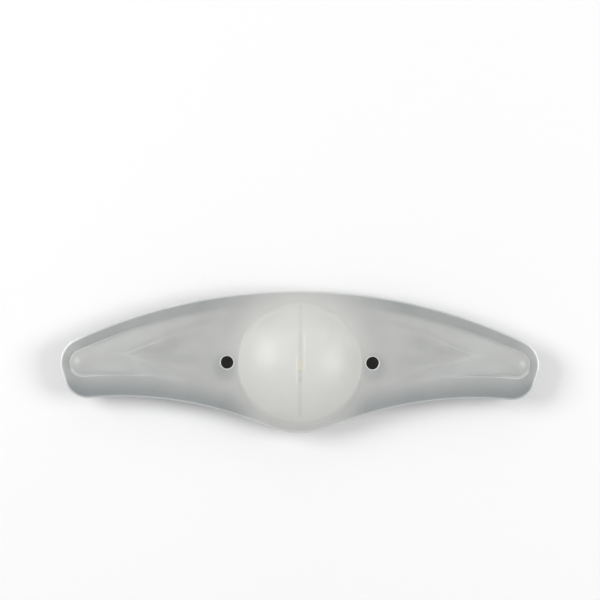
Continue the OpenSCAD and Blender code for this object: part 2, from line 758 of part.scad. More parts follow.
// Steel plate over the switch
module switch_plate() {
    color("silver") difference() {
        box([-face_x - switch_h + 0.2, switch_top_y, button_z - switch_len / 2 + 0.3],
            [-face_x - 0.2, switch_top_y + switch_plate_t, button_z + switch_len / 2 - 0.3]);
        bar_y(plunger_r + plunger_gap, switch_top_y - 1, switch_top_y + 1, switch_x, button_z);
    }
}
module switch_plunger() {
    color("black") bar_y(plunger_r, switch_top_y - plunger_in, plunger_top_y, switch_x, button_z);
}
// Soldered tabs at both ends of the switch
module switch_terminals() {
    mid_y = switch_top_y - switch_d / 2;
    color("silver") for (up = [-1, 1])
        for (dy = [-0.9, 0.9])
            translate([-face_x - pin_t / 2, mid_y + dy, button_z + up * (switch_len + tab_len) / 2])
                cube([pin_t, 0.7, tab_len], center = true);
}

// Button with a flange behind the wall and a groove for its sealing ring
module button_cap() {
    groove_r = ring_r - ring_cord_r;
    groove_w = ring_cord_r + 0.05;
    color("whitesmoke") translate([0, 0, button_z]) rotate([-90, 0, 0]) rotate_extrude() polygon([
        [0, flange_low_y], [button_r + flange_w, flange_low_y], [button_r + flange_w, flange_top_y],
        [button_r, flange_top_y], [button_r, ring_y - groove_w], [groove_r, ring_y - groove_w],
        [groove_r, ring_y + groove_w], [button_r, ring_y + groove_w], [button_r, button_top_y - button_edge],
        [button_r - button_edge, button_top_y], [0, button_top_y]]);
}
module button_oring() {
    color("dimgrey") translate([0, ring_y, button_z])
        rotate([-90, 0, 0]) rotate_extrude() translate([ring_r, 0]) circle(ring_cord_r);
}

// One bent pin that leaves a chip's side along +Z and stands on the right face of the board
module pin(w) {
    translate([0, -w / 2, 0]) cube([0.5, w, pin_t]);
    translate([0, -w / 2, 0]) cube([pin_t, w, pin_reach]);
}
// Controller on the right face of the board
module controller_chip() {
    color("black") translate([face_x, tail_mid_y - chip_side / 2, -chip_drop - chip_side / 2])
        cube([chip_h, chip_side, chip_side]);
}
module controller_pins() {
    color("silver") for (i = [-1.5:1:1.5]) {
        translate([face_x, tail_mid_y + 0.65 * i, -chip_drop + chip_side / 2]) pin(0.3);
        translate([face_x, tail_mid_y + 0.65 * i, -chip_drop - chip_side / 2]) mirror([0, 0, 1]) pin(0.3);
    }
}

// Small chip on the right face, its pins leaving along Y
module small_chip(z) {
    translate([face_x, tail_mid_y - sot_w / 2, z - sot_len / 2]) cube([sot_h, sot_w, sot_len]);
}
// Pins of a small chip: a list of offsets on the rear side and one on the front side
module small_pins(z, rear, front) {
    for (dz = rear)
        translate([face_x, tail_mid_y + sot_w / 2, z + dz]) rotate([-90, 0, 0]) pin(0.4);
    for (dz = front)
        translate([face_x, tail_mid_y - sot_w / 2, z + dz]) rotate([90, 0, 0]) pin(0.4);
}
// Charging chip on the left face, below the socket
charger_z = charger_in - tail_half;
module charger_chip() {
    color("black") mirror([1, 0, 0]) small_chip(charger_z);
}
module charger_pins() {
    color("silver") mirror([1, 0, 0]) small_pins(charger_z, [-0.95, 0, 0.95], [-0.95, 0.95]);
}
// Three transistors that switch the lamps
driver_zs = [for (i = [0:2]) driver_low_z + driver_pitch * i];
module driver_transistors() {
    color("black") for (z = driver_zs)
        small_chip(z);
}
module driver_pins() {
    color("silver") for (z = driver_zs)
        small_pins(z, [-0.95, 0.95], [0]);
}
// Resistors on the right face
resistor_z = -resistor_drop;
module resistors() {
    color("black") for (i = [0:2])
        for (side = [-1, 1])
            translate([face_x + resistor_h / 2, tail_mid_y + side * pair_y, resistor_z - resistor_pitch * i])
                cube([resistor_h, resistor_w, resistor_len], center = true);
}
// Capacitors on the left face: one pair between the socket and the switch, one above the switch
switch_low_z = button_z - switch_len / 2 - tab_len;
switch_high_z = button_z + switch_len / 2 + tab_len;
capacitor_zs = [(usb_w / 2 - port_z + switch_low_z) / 2, switch_high_z + capacitor_gap];
module capacitors() {
    color("tan") for (z = capacitor_zs)
        for (side = [-1, 1])
            translate([-face_x - capacitor_h / 2, tail_mid_y + side * pair_y, z])
                cube([capacitor_h, capacitor_w, capacitor_len], center = true);
}
// Lamp beside the socket that shows charging
module charge_lamp() {
    color("ivory") translate([-face_x - 0.3, tail_mid_y + 1, -port_z - usb_w / 2 - 0.8])
        cube([0.6, 1.6, 0.8], center = true);
}

front_shell();
rear_shell();
reflector_plate();
circuit_board();
left_led();
right_led();
left_led_lens();
right_led_lens();
battery_cell();
cell_header();
foam_pad();
red_lead();
black_lead();
lead_joints();
usb_shell();
usb_tongue();
usb_contacts();
port_cover();
cover_anchor();
switch_body();
switch_plate();
switch_plunger();
switch_terminals();
button_cap();
button_oring();
controller_chip();
controller_pins();
charger_chip();
charger_pins();
driver_transistors();
driver_pins();
resistors();
capacitors();
charge_lamp();
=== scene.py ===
"""Looks of the spoke wheel light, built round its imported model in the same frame, in metres."""

import logging
import math
from collections.abc import Mapping, Sequence
from dataclasses import dataclass
from enum import Enum
from functools import cached_property
from typing import ClassVar

import bmesh
import bpy
import numpy as np
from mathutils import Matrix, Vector, kdtree
from mathutils.geometry import delaunay_2d_cdt


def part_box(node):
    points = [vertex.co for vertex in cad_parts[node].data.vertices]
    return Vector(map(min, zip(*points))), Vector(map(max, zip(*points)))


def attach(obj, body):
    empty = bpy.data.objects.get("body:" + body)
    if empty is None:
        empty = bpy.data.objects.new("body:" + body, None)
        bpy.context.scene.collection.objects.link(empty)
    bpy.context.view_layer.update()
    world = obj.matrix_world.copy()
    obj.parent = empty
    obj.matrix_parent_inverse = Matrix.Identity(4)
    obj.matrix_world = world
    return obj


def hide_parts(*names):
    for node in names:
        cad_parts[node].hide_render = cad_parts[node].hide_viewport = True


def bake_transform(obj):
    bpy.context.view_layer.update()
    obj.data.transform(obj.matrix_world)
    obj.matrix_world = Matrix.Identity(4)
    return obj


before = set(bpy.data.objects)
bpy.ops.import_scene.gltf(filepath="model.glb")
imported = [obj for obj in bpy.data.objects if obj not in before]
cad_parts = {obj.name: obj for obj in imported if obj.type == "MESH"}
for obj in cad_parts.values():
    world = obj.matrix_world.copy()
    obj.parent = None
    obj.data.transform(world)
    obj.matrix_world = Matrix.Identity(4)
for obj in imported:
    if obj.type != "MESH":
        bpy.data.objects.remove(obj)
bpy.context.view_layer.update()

LOG = logging.getLogger("wheel_light")
MM = 0.001
MM_PER_METRE = 1000.0
FAR_MM = 1e9
CORNER_POINTS = 7

Colour = tuple[float, float, float]
Node = bpy.types.Node
Socket = bpy.types.NodeSocket
Mesh = bpy.types.Mesh
Piece = bpy.types.Object


class Value:
    """A number in a node tree. Arithmetic on it adds Math nodes to that tree."""

    def __init__(self, maker: "NodeMaker", socket: Socket) -> None:
        """Wraps one output socket of a maker's tree."""
        self.maker = maker
        self.socket = socket

    def _math(self, operation: str, *others: "Value | float") -> "Value":
        """Adds a Math node with this value first."""
        return self.maker.math(operation, self, *others)

    def __add__(self, other: "Value | float") -> "Value":
        """Sum."""
        return self._math("ADD", other)

    __radd__ = __add__

    def __sub__(self, other: "Value | float") -> "Value":
        """Difference."""
        return self._math("SUBTRACT", other)

    def __rsub__(self, other: float) -> "Value":
        """Difference from a plain number."""
        return self.maker.math("SUBTRACT", other, self)

    def __mul__(self, other: "Value | float") -> "Value":
        """Product."""
        return self._math("MULTIPLY", other)

    __rmul__ = __mul__

    def __truediv__(self, other: "Value | float") -> "Value":
        """Quotient."""
        return self._math("DIVIDE", other)

    def __abs__(self) -> "Value":
        """Size without its sign."""
        return self._math("ABSOLUTE")

    def sine(self) -> "Value":
        """Sine, with this value as an angle in radians."""
        return self._math("SINE")

    def root(self) -> "Value":
        """Square root, with numbers below zero taken as zero."""
        return self._math("MAXIMUM", 0.0)._math("SQRT")

    def least(self, other: "Value | float") -> "Value":
        """The smaller of two."""
        return self._math("MINIMUM", other)

    def most(self, other: "Value | float") -> "Value":
        """The larger of two."""
        return self._math("MAXIMUM", other)

    def soft_most(self, other: "Value | float", blend: "Value | float") -> "Value":
        """The larger of two, with the corner between them rounded over a blend distance."""
        return self._math("SMOOTH_MAX", other, blend)

    def above(self, limit: "Value | float") -> "Value":
        """1 where this is more than the limit, and 0 elsewhere."""
        return self._math("GREATER_THAN", limit)

    def ease(self, low: "Value | float", high: "Value | float") -> "Value":
        """Smooth step up.

        Args:
            low: Where it still is 0.
            high: Where it has reached 1.

        Returns:
            The step, from 0 to 1.
        """
        settings = {"interpolation_type": "SMOOTHSTEP"}
        sockets = {"Value": self, "From Min": low, "From Max": high}
        return self.maker.output("ShaderNodeMapRange", "Result", settings, sockets)

    def fade(self, low: "Value | float", high: "Value | float") -> "Value":
        """Smooth step from 1 at low down to 0 at high."""
        return 1.0 - self.ease(low, high)

    def near(self, centre: float, full: float, none: float) -> "Value":
        """1 up to the distance full from a centre, and down to 0 at the distance none."""
        return abs(self - centre).fade(full, none)

    def towards(self, other: "Value", share: "Value") -> "Value":
        """Moves from this value to another by a share."""
        return self + (other - self) * share


class NodeMaker:
    """Adds nodes to one shader tree or geometry tree."""

    def __init__(self, tree: bpy.types.NodeTree) -> None:
        """Keeps the tree that the nodes go into."""
        self.tree = tree

    def add(self, kind: str, settings: Mapping[str, object] | None = None,
            sockets: Mapping[str | int, object] | None = None) -> Node:
        """Adds one node.

        Args:
            kind: Blender's name for the node type.
            settings: Properties of the node, set first.
            sockets: Values or links for its inputs, by identifier, name or place.

        Returns:
            The new node.
        """
        node = self.tree.nodes.new(kind)
        for name, value in (settings or {}).items():
            setattr(node, name, value)
        self.feed(node, sockets or {})
        return node

    def feed(self, node: Node, sockets: Mapping[str | int, object]) -> None:
        """Sets or links inputs of a node.

        Args:
            node: Node of this maker's tree.
            sockets: Values or links for its inputs, by identifier, name or place.
        """
        for key, value in sockets.items():
            socket = node.inputs[key] if isinstance(key, int) else self._input(node, key)
            value = value.socket if isinstance(value, Value) else value
            if isinstance(value, Socket):
                self.tree.links.new(value, socket)
            else:
                socket.default_value = value

    @staticmethod
    def _input(node: Node, key: str) -> Socket:
        """Finds an input by its identifier, or else by its name."""
        return next((s for s in node.inputs if s.identifier == key), None) or node.inputs[key]

    def output(self, kind: str, name: str | int = 0, settings: Mapping[str, object] | None = None,
               sockets: Mapping[str | int, object] | None = None) -> Value:
        """Adds one node and gives one of its outputs, by name or place, as a value."""
        return Value(self, self.add(kind, settings, sockets).outputs[name])

    def math(self, operation: str, *values: Value | float) -> Value:
        """Adds a Math node and gives its result."""
        return self.output("ShaderNodeMath", 0, {"operation": operation}, dict(enumerate(values)))

    def axes(self, vector: Socket) -> tuple[Value, Value, Value]:
        """Splits a vector into x, y and z."""
        node = self.add("ShaderNodeSeparateXYZ", None, {0: vector})
        return tuple(Value(self, s) for s in node.outputs)

    def place(self) -> Socket:
        """Object coordinates, in metres."""
        return self.add("ShaderNodeTexCoord").outputs["Object"]

    def mix(self, share: Value | float, first: Socket | Colour, second: Socket | Colour) -> Socket:
        """Mixes two colours.

        Args:
            share: Share of the second colour, from 0 to 1.
            first: Colour, as a link or as plain numbers.
            second: Colour, as a link or as plain numbers.

        Returns:
            Socket of the mixed colour.
        """
        first, second = (c if isinstance(c, Socket) else (*c, 1.0) for c in (first, second))
        sockets = {"Factor_Float": share, "A_Color": first, "B_Color": second}
        node = self.add("ShaderNodeMix", {"data_type": "RGBA"}, sockets)
        return next(s for s in node.outputs if s.identifier == "Result_Color")

    def reach(self, a: Value, b: Value) -> Value:
        """Length of a flat vector."""
        return (a * a + b * b).root()


def new_material(name: str) -> tuple[bpy.types.Material, NodeMaker, Node]:
    """Starts a material with nodes.

    Args:
        name: Name of the material.

    Returns:
        The material, a maker for its tree, and its main shader.
    """
    material = bpy.data.materials.new(name)
    material.use_nodes = True
    return material, NodeMaker(material.node_tree), material.node_tree.nodes["Principled BSDF"]


def srgb(red: float, green: float, blue: float) -> Colour:
    """Turns a colour as seen on a screen into linear light.

    Args:
        red: Red, from 0 to 255.
        green: Green, from 0 to 255.
        blue: Blue, from 0 to 255.

    Returns:
        The colour, each channel from 0 to 1.
    """
    def linear(c: float) -> float:
        """One channel, from 0 to 1."""
        return c / 12.92 if c <= 0.04045 else ((c + 0.055) / 1.055) ** 2.4

    return linear(red / 255), linear(green / 255), linear(blue / 255)


class Grain(Enum):
    """How the surface of a small piece varies."""

    MOULDED = "moulded"
    BRUSHED = "brushed"
    WOVEN = "woven"
    CRINKLED = "crinkled"


@dataclass(frozen=True)
class Finish:
    """Finish of a small piece: colour, gloss and a fine surface of one sort."""

    name: str
    colour: Colour
    rough: float = 0.45
    metallic: float = 0.0
    grain: Grain = Grain.MOULDED
    grain_mm: float = 0.4
    shade: float = 0.12
    lift: float = 0.6
    gloss_spread: float = 0.16
    bump: float = 0.15
    bump_share: float = 0.25
    coat: float = 0.0
    subsurface: float = 0.0

    def material(self) -> bpy.types.Material:
        """Builds the material once.

        Returns:
            The material, new or from an earlier call.
        """
        done = bpy.data.materials.get(self.name)
        if done:
            return done
        material, maker, shader = new_material(self.name)
        grain = self._pattern(maker)
        dark = tuple(c * (1 - self.shade) for c in self.colour)
        light = tuple(min(c * (1 + self.shade * self.lift), 1.0) for c in self.colour)
        height = {"Strength": self.bump, "Distance": self.grain_mm * MM * self.bump_share, "Height": grain}
        maker.feed(shader, {
            "Base Color": maker.mix(grain, dark, light),
            "Roughness": (grain - 0.5) * self.gloss_spread + self.rough,
            "Normal": maker.add("ShaderNodeBump", None, height).outputs["Normal"],
            "Metallic": self.metallic,
            "Coat Weight": self.coat,
            "Subsurface Weight": self.subsurface,
            "Subsurface Scale": MM,
        })
        return material

    def _pattern(self, maker: NodeMaker) -> Value:
        """Adds the fine pattern of this finish.

        Args:
            maker: Maker for the material's tree.

        Returns:
            The pattern, from 0 to 1.
        """
        place = maker.place()
        scale = 1 / (self.grain_mm * MM)
        if self.grain is Grain.CRINKLED:
            settings, sockets = {"feature": "SMOOTH_F1"}, {"Vector": place, "Scale": scale}
            return maker.output("ShaderNodeTexVoronoi", "Distance", settings, sockets).ease(0.1, 0.9)
        if self.grain is Grain.WOVEN:
            x, y, z = ((v * (2 * math.pi * scale)).sine() for v in maker.axes(place))
            return (y * z + x * 0.3) * 0.38 + 0.5
        if self.grain is Grain.BRUSHED:
            stretch = maker.add("ShaderNodeMapping", None, {"Vector": place, "Scale": (1.0, 1.0, 0.06)})
            place = stretch.outputs["Vector"]
        sockets = {"Vector": place, "Scale": scale, "Detail": 3.0, "Roughness": 0.6}
        return maker.output("ShaderNodeTexNoise", "Fac", None, sockets).ease(0.3, 0.7)


WHITE_PLASTIC = Finish("white_satin_plastic", srgb(236, 236, 230), rough=0.5, grain_mm=0.5, shade=0.04)
BOARD = Finish("white_board_resin", srgb(214, 216, 210), rough=0.36, grain=Grain.WOVEN, grain_mm=0.5,
               shade=0.08, coat=0.25)
LAMP_BODY = Finish("lamp_ceramic", srgb(238, 234, 220), rough=0.5, grain_mm=0.2, shade=0.05)
LAMP_WINDOW = Finish("lamp_phosphor", srgb(232, 196, 84), rough=0.3, grain_mm=0.15, subsurface=0.2)
CELL_FOIL = Finish("cell_foil", srgb(186, 190, 194), rough=0.34, metallic=0.85, grain=Grain.CRINKLED,
                   grain_mm=1.4, bump=0.3)
AMBER_TAPE = Finish("amber_tape", srgb(196, 138, 42), rough=0.32, grain_mm=0.8, shade=0.1, coat=0.3)
FOAM = Finish("closed_foam", srgb(70, 72, 74), rough=0.85, grain=Grain.CRINKLED, grain_mm=0.35, shade=0.3,
              bump=0.5)
RED_WIRE = Finish("red_wire_jacket", srgb(186, 28, 26), rough=0.42, grain_mm=0.3, shade=0.08)
BLACK_WIRE = Finish("black_wire_jacket", srgb(26, 26, 27), rough=0.42, grain_mm=0.3, shade=0.2)
SOLDER = Finish("soldered_tin", srgb(186, 188, 190), rough=0.28, metallic=1.0, grain_mm=0.3, bump=0.25)
STEEL = Finish("pressed_steel", srgb(192, 193, 195), rough=0.3, metallic=1.0, grain=Grain.BRUSHED,
               grain_mm=0.12)
GOLD = Finish("contact_gold", srgb(214, 172, 88), rough=0.25, metallic=1.0, grain=Grain.BRUSHED,
              grain_mm=0.1)
BLACK_PLASTIC = Finish("black_moulding", srgb(28, 29, 31), rough=0.46, grain_mm=0.15, shade=0.25)
SILICONE = Finish("soft_silicone", srgb(214, 215, 211), rough=0.6, grain_mm=0.2, shade=0.03, bump=0.1,
                  subsurface=0.15)
BUTTON_GREY = Finish("button_plastic", srgb(176, 179, 180), rough=0.42, grain_mm=0.3, shade=0.06)
SEAL = Finish("ring_rubber", srgb(60, 61, 63), rough=0.55, grain_mm=0.2, shade=0.15)
CERAMIC = Finish("tan_ceramic", srgb(172, 138, 100), rough=0.5, grain_mm=0.2, shade=0.1)


def facing(angles: np.ndarray) -> np.ndarray:
    """Flat unit vectors in the directions of some angles."""
    return np.stack([np.cos(angles), np.sin(angles)], 1)


def ring(centre: Sequence[float], radius: float, count: int) -> np.ndarray:
    """Evenly spaced points round a circle."""
    return np.array(centre) + radius * facing(np.arange(count) * 2 * math.pi / count)


def rounded(corners: Sequence[tuple[float, float, float]], step: float) -> np.ndarray:
    """Closed polygon with rounded corners.

    Args:
        corners: Corner points with the radius of each, going round once.
        step: Distance between points on straight sides.

    Returns:
        Points of one closed loop.
    """
    line = []
    for i, (x, z, radius) in enumerate(corners):
        here = np.array([x, z])
        before = np.array(corners[i - 1][:2]) - here
        after = np.array(corners[(i + 1) % len(corners)][:2]) - here
        before, after = before / np.hypot(*before), after / np.hypot(*after)
        half = math.acos(float(before @ after)) / 2
        start, end = here + before * radius / math.tan(half), here + after * radius / math.tan(half)
        middle = here + (before + after) / np.hypot(*(before + after)) * radius / math.sin(half)
        first = math.atan2(*(start - middle)[::-1])
        sweep = np.angle(np.exp(1j * (math.atan2(*(end - middle)[::-1]) - first)))
        line += list(middle + radius * facing(np.linspace(first, first + sweep, CORNER_POINTS)))
    closed = []
    for a, b in zip(line, line[1:] + line[:1]):
        count = max(int(np.hypot(*(b - a)) / step), 1)
        closed += [a + (b - a) * k / count for k in range(count)]
    return np.array(closed)


def inside(points: np.ndarray, loop: np.ndarray) -> np.ndarray:
    """Tells which points lie inside a closed loop.

    Args:
        points: Rows of x and z.
        loop: Points of the loop, as rows of x and z.

    Returns:
        One truth value for each point.
    """
    found = np.zeros(len(points), bool)
    for a, b in zip(loop, np.roll(loop, -1, 0)):
        if a[1] == b[1]:
            continue
        crossing = (a[1] > points[:, 1]) != (b[1] > points[:, 1])
        at = a[0] + (points[:, 1] - a[1]) * (b[0] - a[0]) / (b[1] - a[1])
        found ^= crossing & (points[:, 0] < at)
    return found


@dataclass(frozen=True)
class Arc:
    """Part of a circle on the plan, in mm and radians. Its bulge is 1, or -1 where the outline is hollow."""

    small_r: ClassVar[float] = 20.0
    slack: ClassVar[float] = 1e-6
    centre: np.ndarray
    radius: float
    start: float
    end: float
    bulge: int = 1

    def points(self, step: float, tight: float, least: int, inset: float = 0.0) -> np.ndarray:
        """Points along the arc.

        Args:
            step: Distance between points.
            tight: Share of that distance to keep on a small radius.
            least: Smallest number of steps.
            inset: Distance by which the points lie inside the outline.

        Returns:
            Rows of x and z, with both ends.
        """
        near = step if self.radius > self.small_r else step * tight
        count = max(int(self.radius * abs(self.end - self.start) / near), least)
        angles = np.linspace(self.start, self.end, count + 1)
        return self.centre + (self.radius - self.bulge * inset) * facing(angles)

    def gap(self, points: np.ndarray) -> np.ndarray:
        """Distances inside the arc.

        Args:
            points: Rows of x and z.

        Returns:
            The distance of each point, or a very large number where the arc doesn't face the point.
        """
        across, up = (points - self.centre).T
        middle, half = (self.start + self.end) / 2, abs(self.end - self.start) / 2 + self.slack
        turn = np.angle(np.exp(1j * (np.arctan2(up, across) - middle)))
        gap = self.bulge * (self.radius - np.hypot(across, up))
        return np.where(np.abs(turn) <= half, gap, FAR_MM)


@dataclass(frozen=True)
class WingPlan:
    """Outline of a shell, borders of its tongues and its round features, in mm on the x-z plane."""

    half_len: float = 95.0
    crown_z: float = 28.6
    crown_r: float = 210.0
    belly_z: float = 27.7
    tip_top_r: float = 10.0
    tip_low_r: float = 9.1
    tip_lean: float = 1.5
    scoop_r: float = 153.0
    scoop_in: float = 24.0
    scoop_z: float = 13.8
    tongue_r: float = 5.3
    tongue_tip_gap: float = 3.5
    tongue_top_gap: float = 4.2
    tongue_root_x: float = 36.0
    fork_in: float = 26.0
    fork_z: float = 3.3
    fork_angle: float = 21.4
    hole_x: float = 28.9
    hole_r: float = 2.55
    pip_x: float = 88.1
    pip_z: float = 0.4

    @cached_property
    def crown_c(self) -> np.ndarray:
        """Centre of the long top arc."""
        return np.array([0.0, self.crown_z - self.crown_r])

    @cached_property
    def tip_top_c(self) -> np.ndarray:
        """Centre of a tip's upper corner."""
        x = self.half_len - self.tip_top_r
        return np.array([x, self.crown_c[1] + math.sqrt((self.crown_r - self.tip_top_r) ** 2 - x * x)])

    @cached_property
    def scoop_c(self) -> np.ndarray:
        """Centre of the hollow arc under a wing."""
        return np.array([self.half_len - self.scoop_in, -self.scoop_z - self.scoop_r])

    @cached_property
    def tip_low_c(self) -> np.ndarray:
        """Centre of a tip's lower corner.

        Returns:
            Its x and z.
        """
        x = self.half_len - self.tip_lean - self.tip_low_r
        reach = (self.scoop_r + self.tip_low_r) ** 2 - (x - self.scoop_c[0]) ** 2
        return np.array([x, self.scoop_c[1] + math.sqrt(reach)])

    @cached_property
    def belly_r(self) -> float:
        """Radius of the belly arc."""
        drop = -self.belly_z - self.scoop_c[1]
        return (self.scoop_c[0] ** 2 + drop**2 - self.scoop_r**2) / (2 * (self.scoop_r - drop))

    @cached_property
    def belly_c(self) -> np.ndarray:
        """Centre of the belly arc."""
        return np.array([0.0, self.belly_r - self.belly_z])

    @cached_property
    def side_angle(self) -> float:
        """Direction in which the straight side of a tip faces.

        Returns:
            The angle, in radians.
        """
        span = self.tip_top_c - self.tip_low_c
        lean = math.acos((self.tip_low_r - self.tip_top_r) / np.hypot(*span))
        return math.atan2(span[1], span[0]) - lean

    @cached_property
    def tongue_c(self) -> np.ndarray:
        """Centre of a tongue's round end."""
        x = self.half_len - self.tongue_tip_gap - self.tongue_r
        return np.array([x, self.crown_c[1] + math.sqrt((self.border_top_r - self.tongue_r) ** 2 - x * x)])

    @property
    def border_top_r(self) -> float:
        """Radius of a tongue's upper border."""
        return self.crown_r - self.tongue_top_gap

    @property
    def border_low_r(self) -> float:
        """Radius of a tongue's lower border."""
        return float(np.hypot(*(self.tongue_c - self.scoop_c))) - self.tongue_r

    @property
    def fork_x(self) -> float:
        """Distance from the middle at which a tongue forks."""
        return self.half_len - self.fork_in

    @property
    def fork_slope(self) -> float:
        """How far each branch of a tongue moves up or down for each mm towards the middle."""
        return math.tan(math.radians(self.fork_angle))

    @staticmethod
    def _angle(start: np.ndarray, end: np.ndarray) -> float:
        """Direction from one point to another."""
        return math.atan2(end[1] - start[1], end[0] - start[0])

    @staticmethod
    def _on_right(points: np.ndarray) -> np.ndarray:
        """Points of both wings as if on the right one."""
        return np.stack([np.abs(points[:, 0]), points[:, 1]], 1)

    @cached_property
    def edge_arcs(self) -> list[Arc]:
        """Arcs of the right half of the outline.

        Returns:
            The arcs, from the top round the tip to the bottom, with a straight side after the second.
        """
        first = self._angle(self.crown_c, self.tip_top_c)
        low = self._angle(self.tip_low_c, self.scoop_c)
        waist = self._angle(self.scoop_c, self.belly_c)
        return [Arc(self.crown_c, self.crown_r, math.pi / 2, first),
                Arc(self.tip_top_c, self.tip_top_r, first, self.side_angle),
                Arc(self.tip_low_c, self.tip_low_r, self.side_angle, low),
                Arc(self.scoop_c, self.scoop_r, low + math.pi, waist, -1),
                Arc(self.belly_c, self.belly_r, waist - math.pi, -math.pi / 2)]

    def outline(self, inset: float, step: float) -> np.ndarray:
        """Points round the outline.

        Args:
            inset: Distance by which the line lies inside the edge.
            step: Distance between points on a long arc.

        Returns:
            Points of one closed loop, as rows of x and z.
        """
        parts = [arc.points(step, tight=0.6, least=4, inset=inset) for arc in self.edge_arcs]
        crown, tip_top, tip_low, scoop, belly = parts
        right = np.concatenate([crown, tip_top[1:], tip_low, scoop[1:], belly[1:]])
        left = right[-2:0:-1] * [-1, 1]
        return np.concatenate([right, left])

    def border(self, depth: float, step: float) -> np.ndarray:
        """Points along the right tongue's border, from its upper root round the end to its lower root.

        Args:
            depth: Distance by which the line lies inside the border.
            step: Distance between points on a long arc.

        Returns:
            Points of one open line, as rows of x and z.
        """
        top_r, low_r = self.border_top_r - depth, self.border_low_r + depth
        top_root = math.acos(self.tongue_root_x / top_r)
        low_root = math.acos((self.tongue_root_x - self.scoop_c[0]) / low_r)
        first = self._angle(self.crown_c, self.tongue_c)
        low = self._angle(self.tongue_c, self.scoop_c)
        arcs = [Arc(self.crown_c, top_r, top_root, first),
                Arc(self.tongue_c, self.tongue_r - depth, first, low),
                Arc(self.scoop_c, low_r, low + math.pi, low_root)]
        top, end, under = (arc.points(step, tight=0.5, least=8) for arc in arcs)
        return np.concatenate([top, end[1:], under[1:]])

    def rim_gap(self, points: np.ndarray) -> np.ndarray:
        """Distances inside the outline.

        Args:
            points: Rows of x and z.

        Returns:
            The distance of each point.
        """
        right = self._on_right(points)
        best = np.minimum.reduce([arc.gap(right) for arc in self.edge_arcs])
        outward = facing(np.array([self.side_angle]))[0]
        ahead = right - self.tip_low_c
        along = ahead @ np.array([-outward[1], outward[0]])
        length = np.hypot(*(self.tip_top_c - self.tip_low_c))
        side = np.where((along > 0) & (along < length), self.tip_low_r - ahead @ outward, FAR_MM)
        return np.maximum(np.minimum(best, side), 0.0)

    def tongue_depth(self, points: np.ndarray) -> np.ndarray:
        """Distances inside the border of a tongue.

        Args:
            points: Rows of x and z.

        Returns:
            The distance of each point, below zero outside the border.
        """
        right = self._on_right(points)

        def far(centre: np.ndarray) -> np.ndarray:
            """Distance of each point from a centre."""
            return np.hypot(*(right - centre).T)

        def beyond(centre: np.ndarray) -> np.ndarray:
            """Whether each point lies past the line from a centre through the round end's centre."""
            offset, axis = right - centre, self.tongue_c - centre
            return offset[:, 0] * axis[1] > offset[:, 1] * axis[0]

        sides = np.minimum(self.border_top_r - far(self.crown_c), far(self.scoop_c) - self.border_low_r)
        at_end = beyond(self.crown_c) & beyond(self.scoop_c)
        return np.where(at_end, self.tongue_r - far(self.tongue_c), sides)


@dataclass(frozen=True)
class RearPlan:
    """Places and sizes that the rear shell shares with the button and the flap, in mm on the x-z plane."""

    button_z: float = 7.6
    port_x: float = -2.05
    port_z: float = -7.0
    flap_half: float = 3.3
    flap_top: float = -1.4
    flap_low: float = -12.4
    strap_half: float = 1.9
    strap_end: float = -16.2
    plug_half_x: float = 1.4
    plug_half_z: float = 3.9
    stud_z: float = -15.25

    def flap_line(self, grow: float, ledge: float, radii: tuple[float, float, float],
                  step: float) -> np.ndarray:
        """Outline of the flap with its strap.

        Args:
            grow: Distance by which the line lies outside the flap.
            ledge: The same, for the ledge between flap and strap.
            radii: Corner radii of the flap, of the strap's root and of the strap's end.
            step: Distance between points on straight sides.

        Returns:
            Points of one closed loop.
        """
        wide, slim = self.flap_half + grow, self.strap_half + grow
        top, low, end = self.flap_top + grow, self.flap_low - ledge, self.strap_end - grow
        flap_r, root_r, end_r = radii
        corners = [(-wide, top, flap_r), (wide, top, flap_r), (wide, low, flap_r), (slim, low, root_r),
                   (slim, end, end_r), (-slim, end, end_r), (-slim, low, root_r), (-wide, low, flap_r)]
        return rounded([(self.port_x + x, z, r) for x, z, r in corners], step)

    def plug_line(self, grow: float, radius: float, step: float) -> np.ndarray:
        """Outline of the plug under the flap.

        Args:
            grow: Distance by which the line lies outside the plug.
            radius: Corner radius.
            step: Distance between points on straight sides.

        Returns:
            Points of one closed loop.
        """
        wide, high = self.plug_half_x + grow, self.plug_half_z + grow
        corners = [(-wide, high), (wide, high), (wide, -high), (-wide, -high)]
        return rounded([(self.port_x + x, self.port_z + z, radius) for x, z in corners], step)


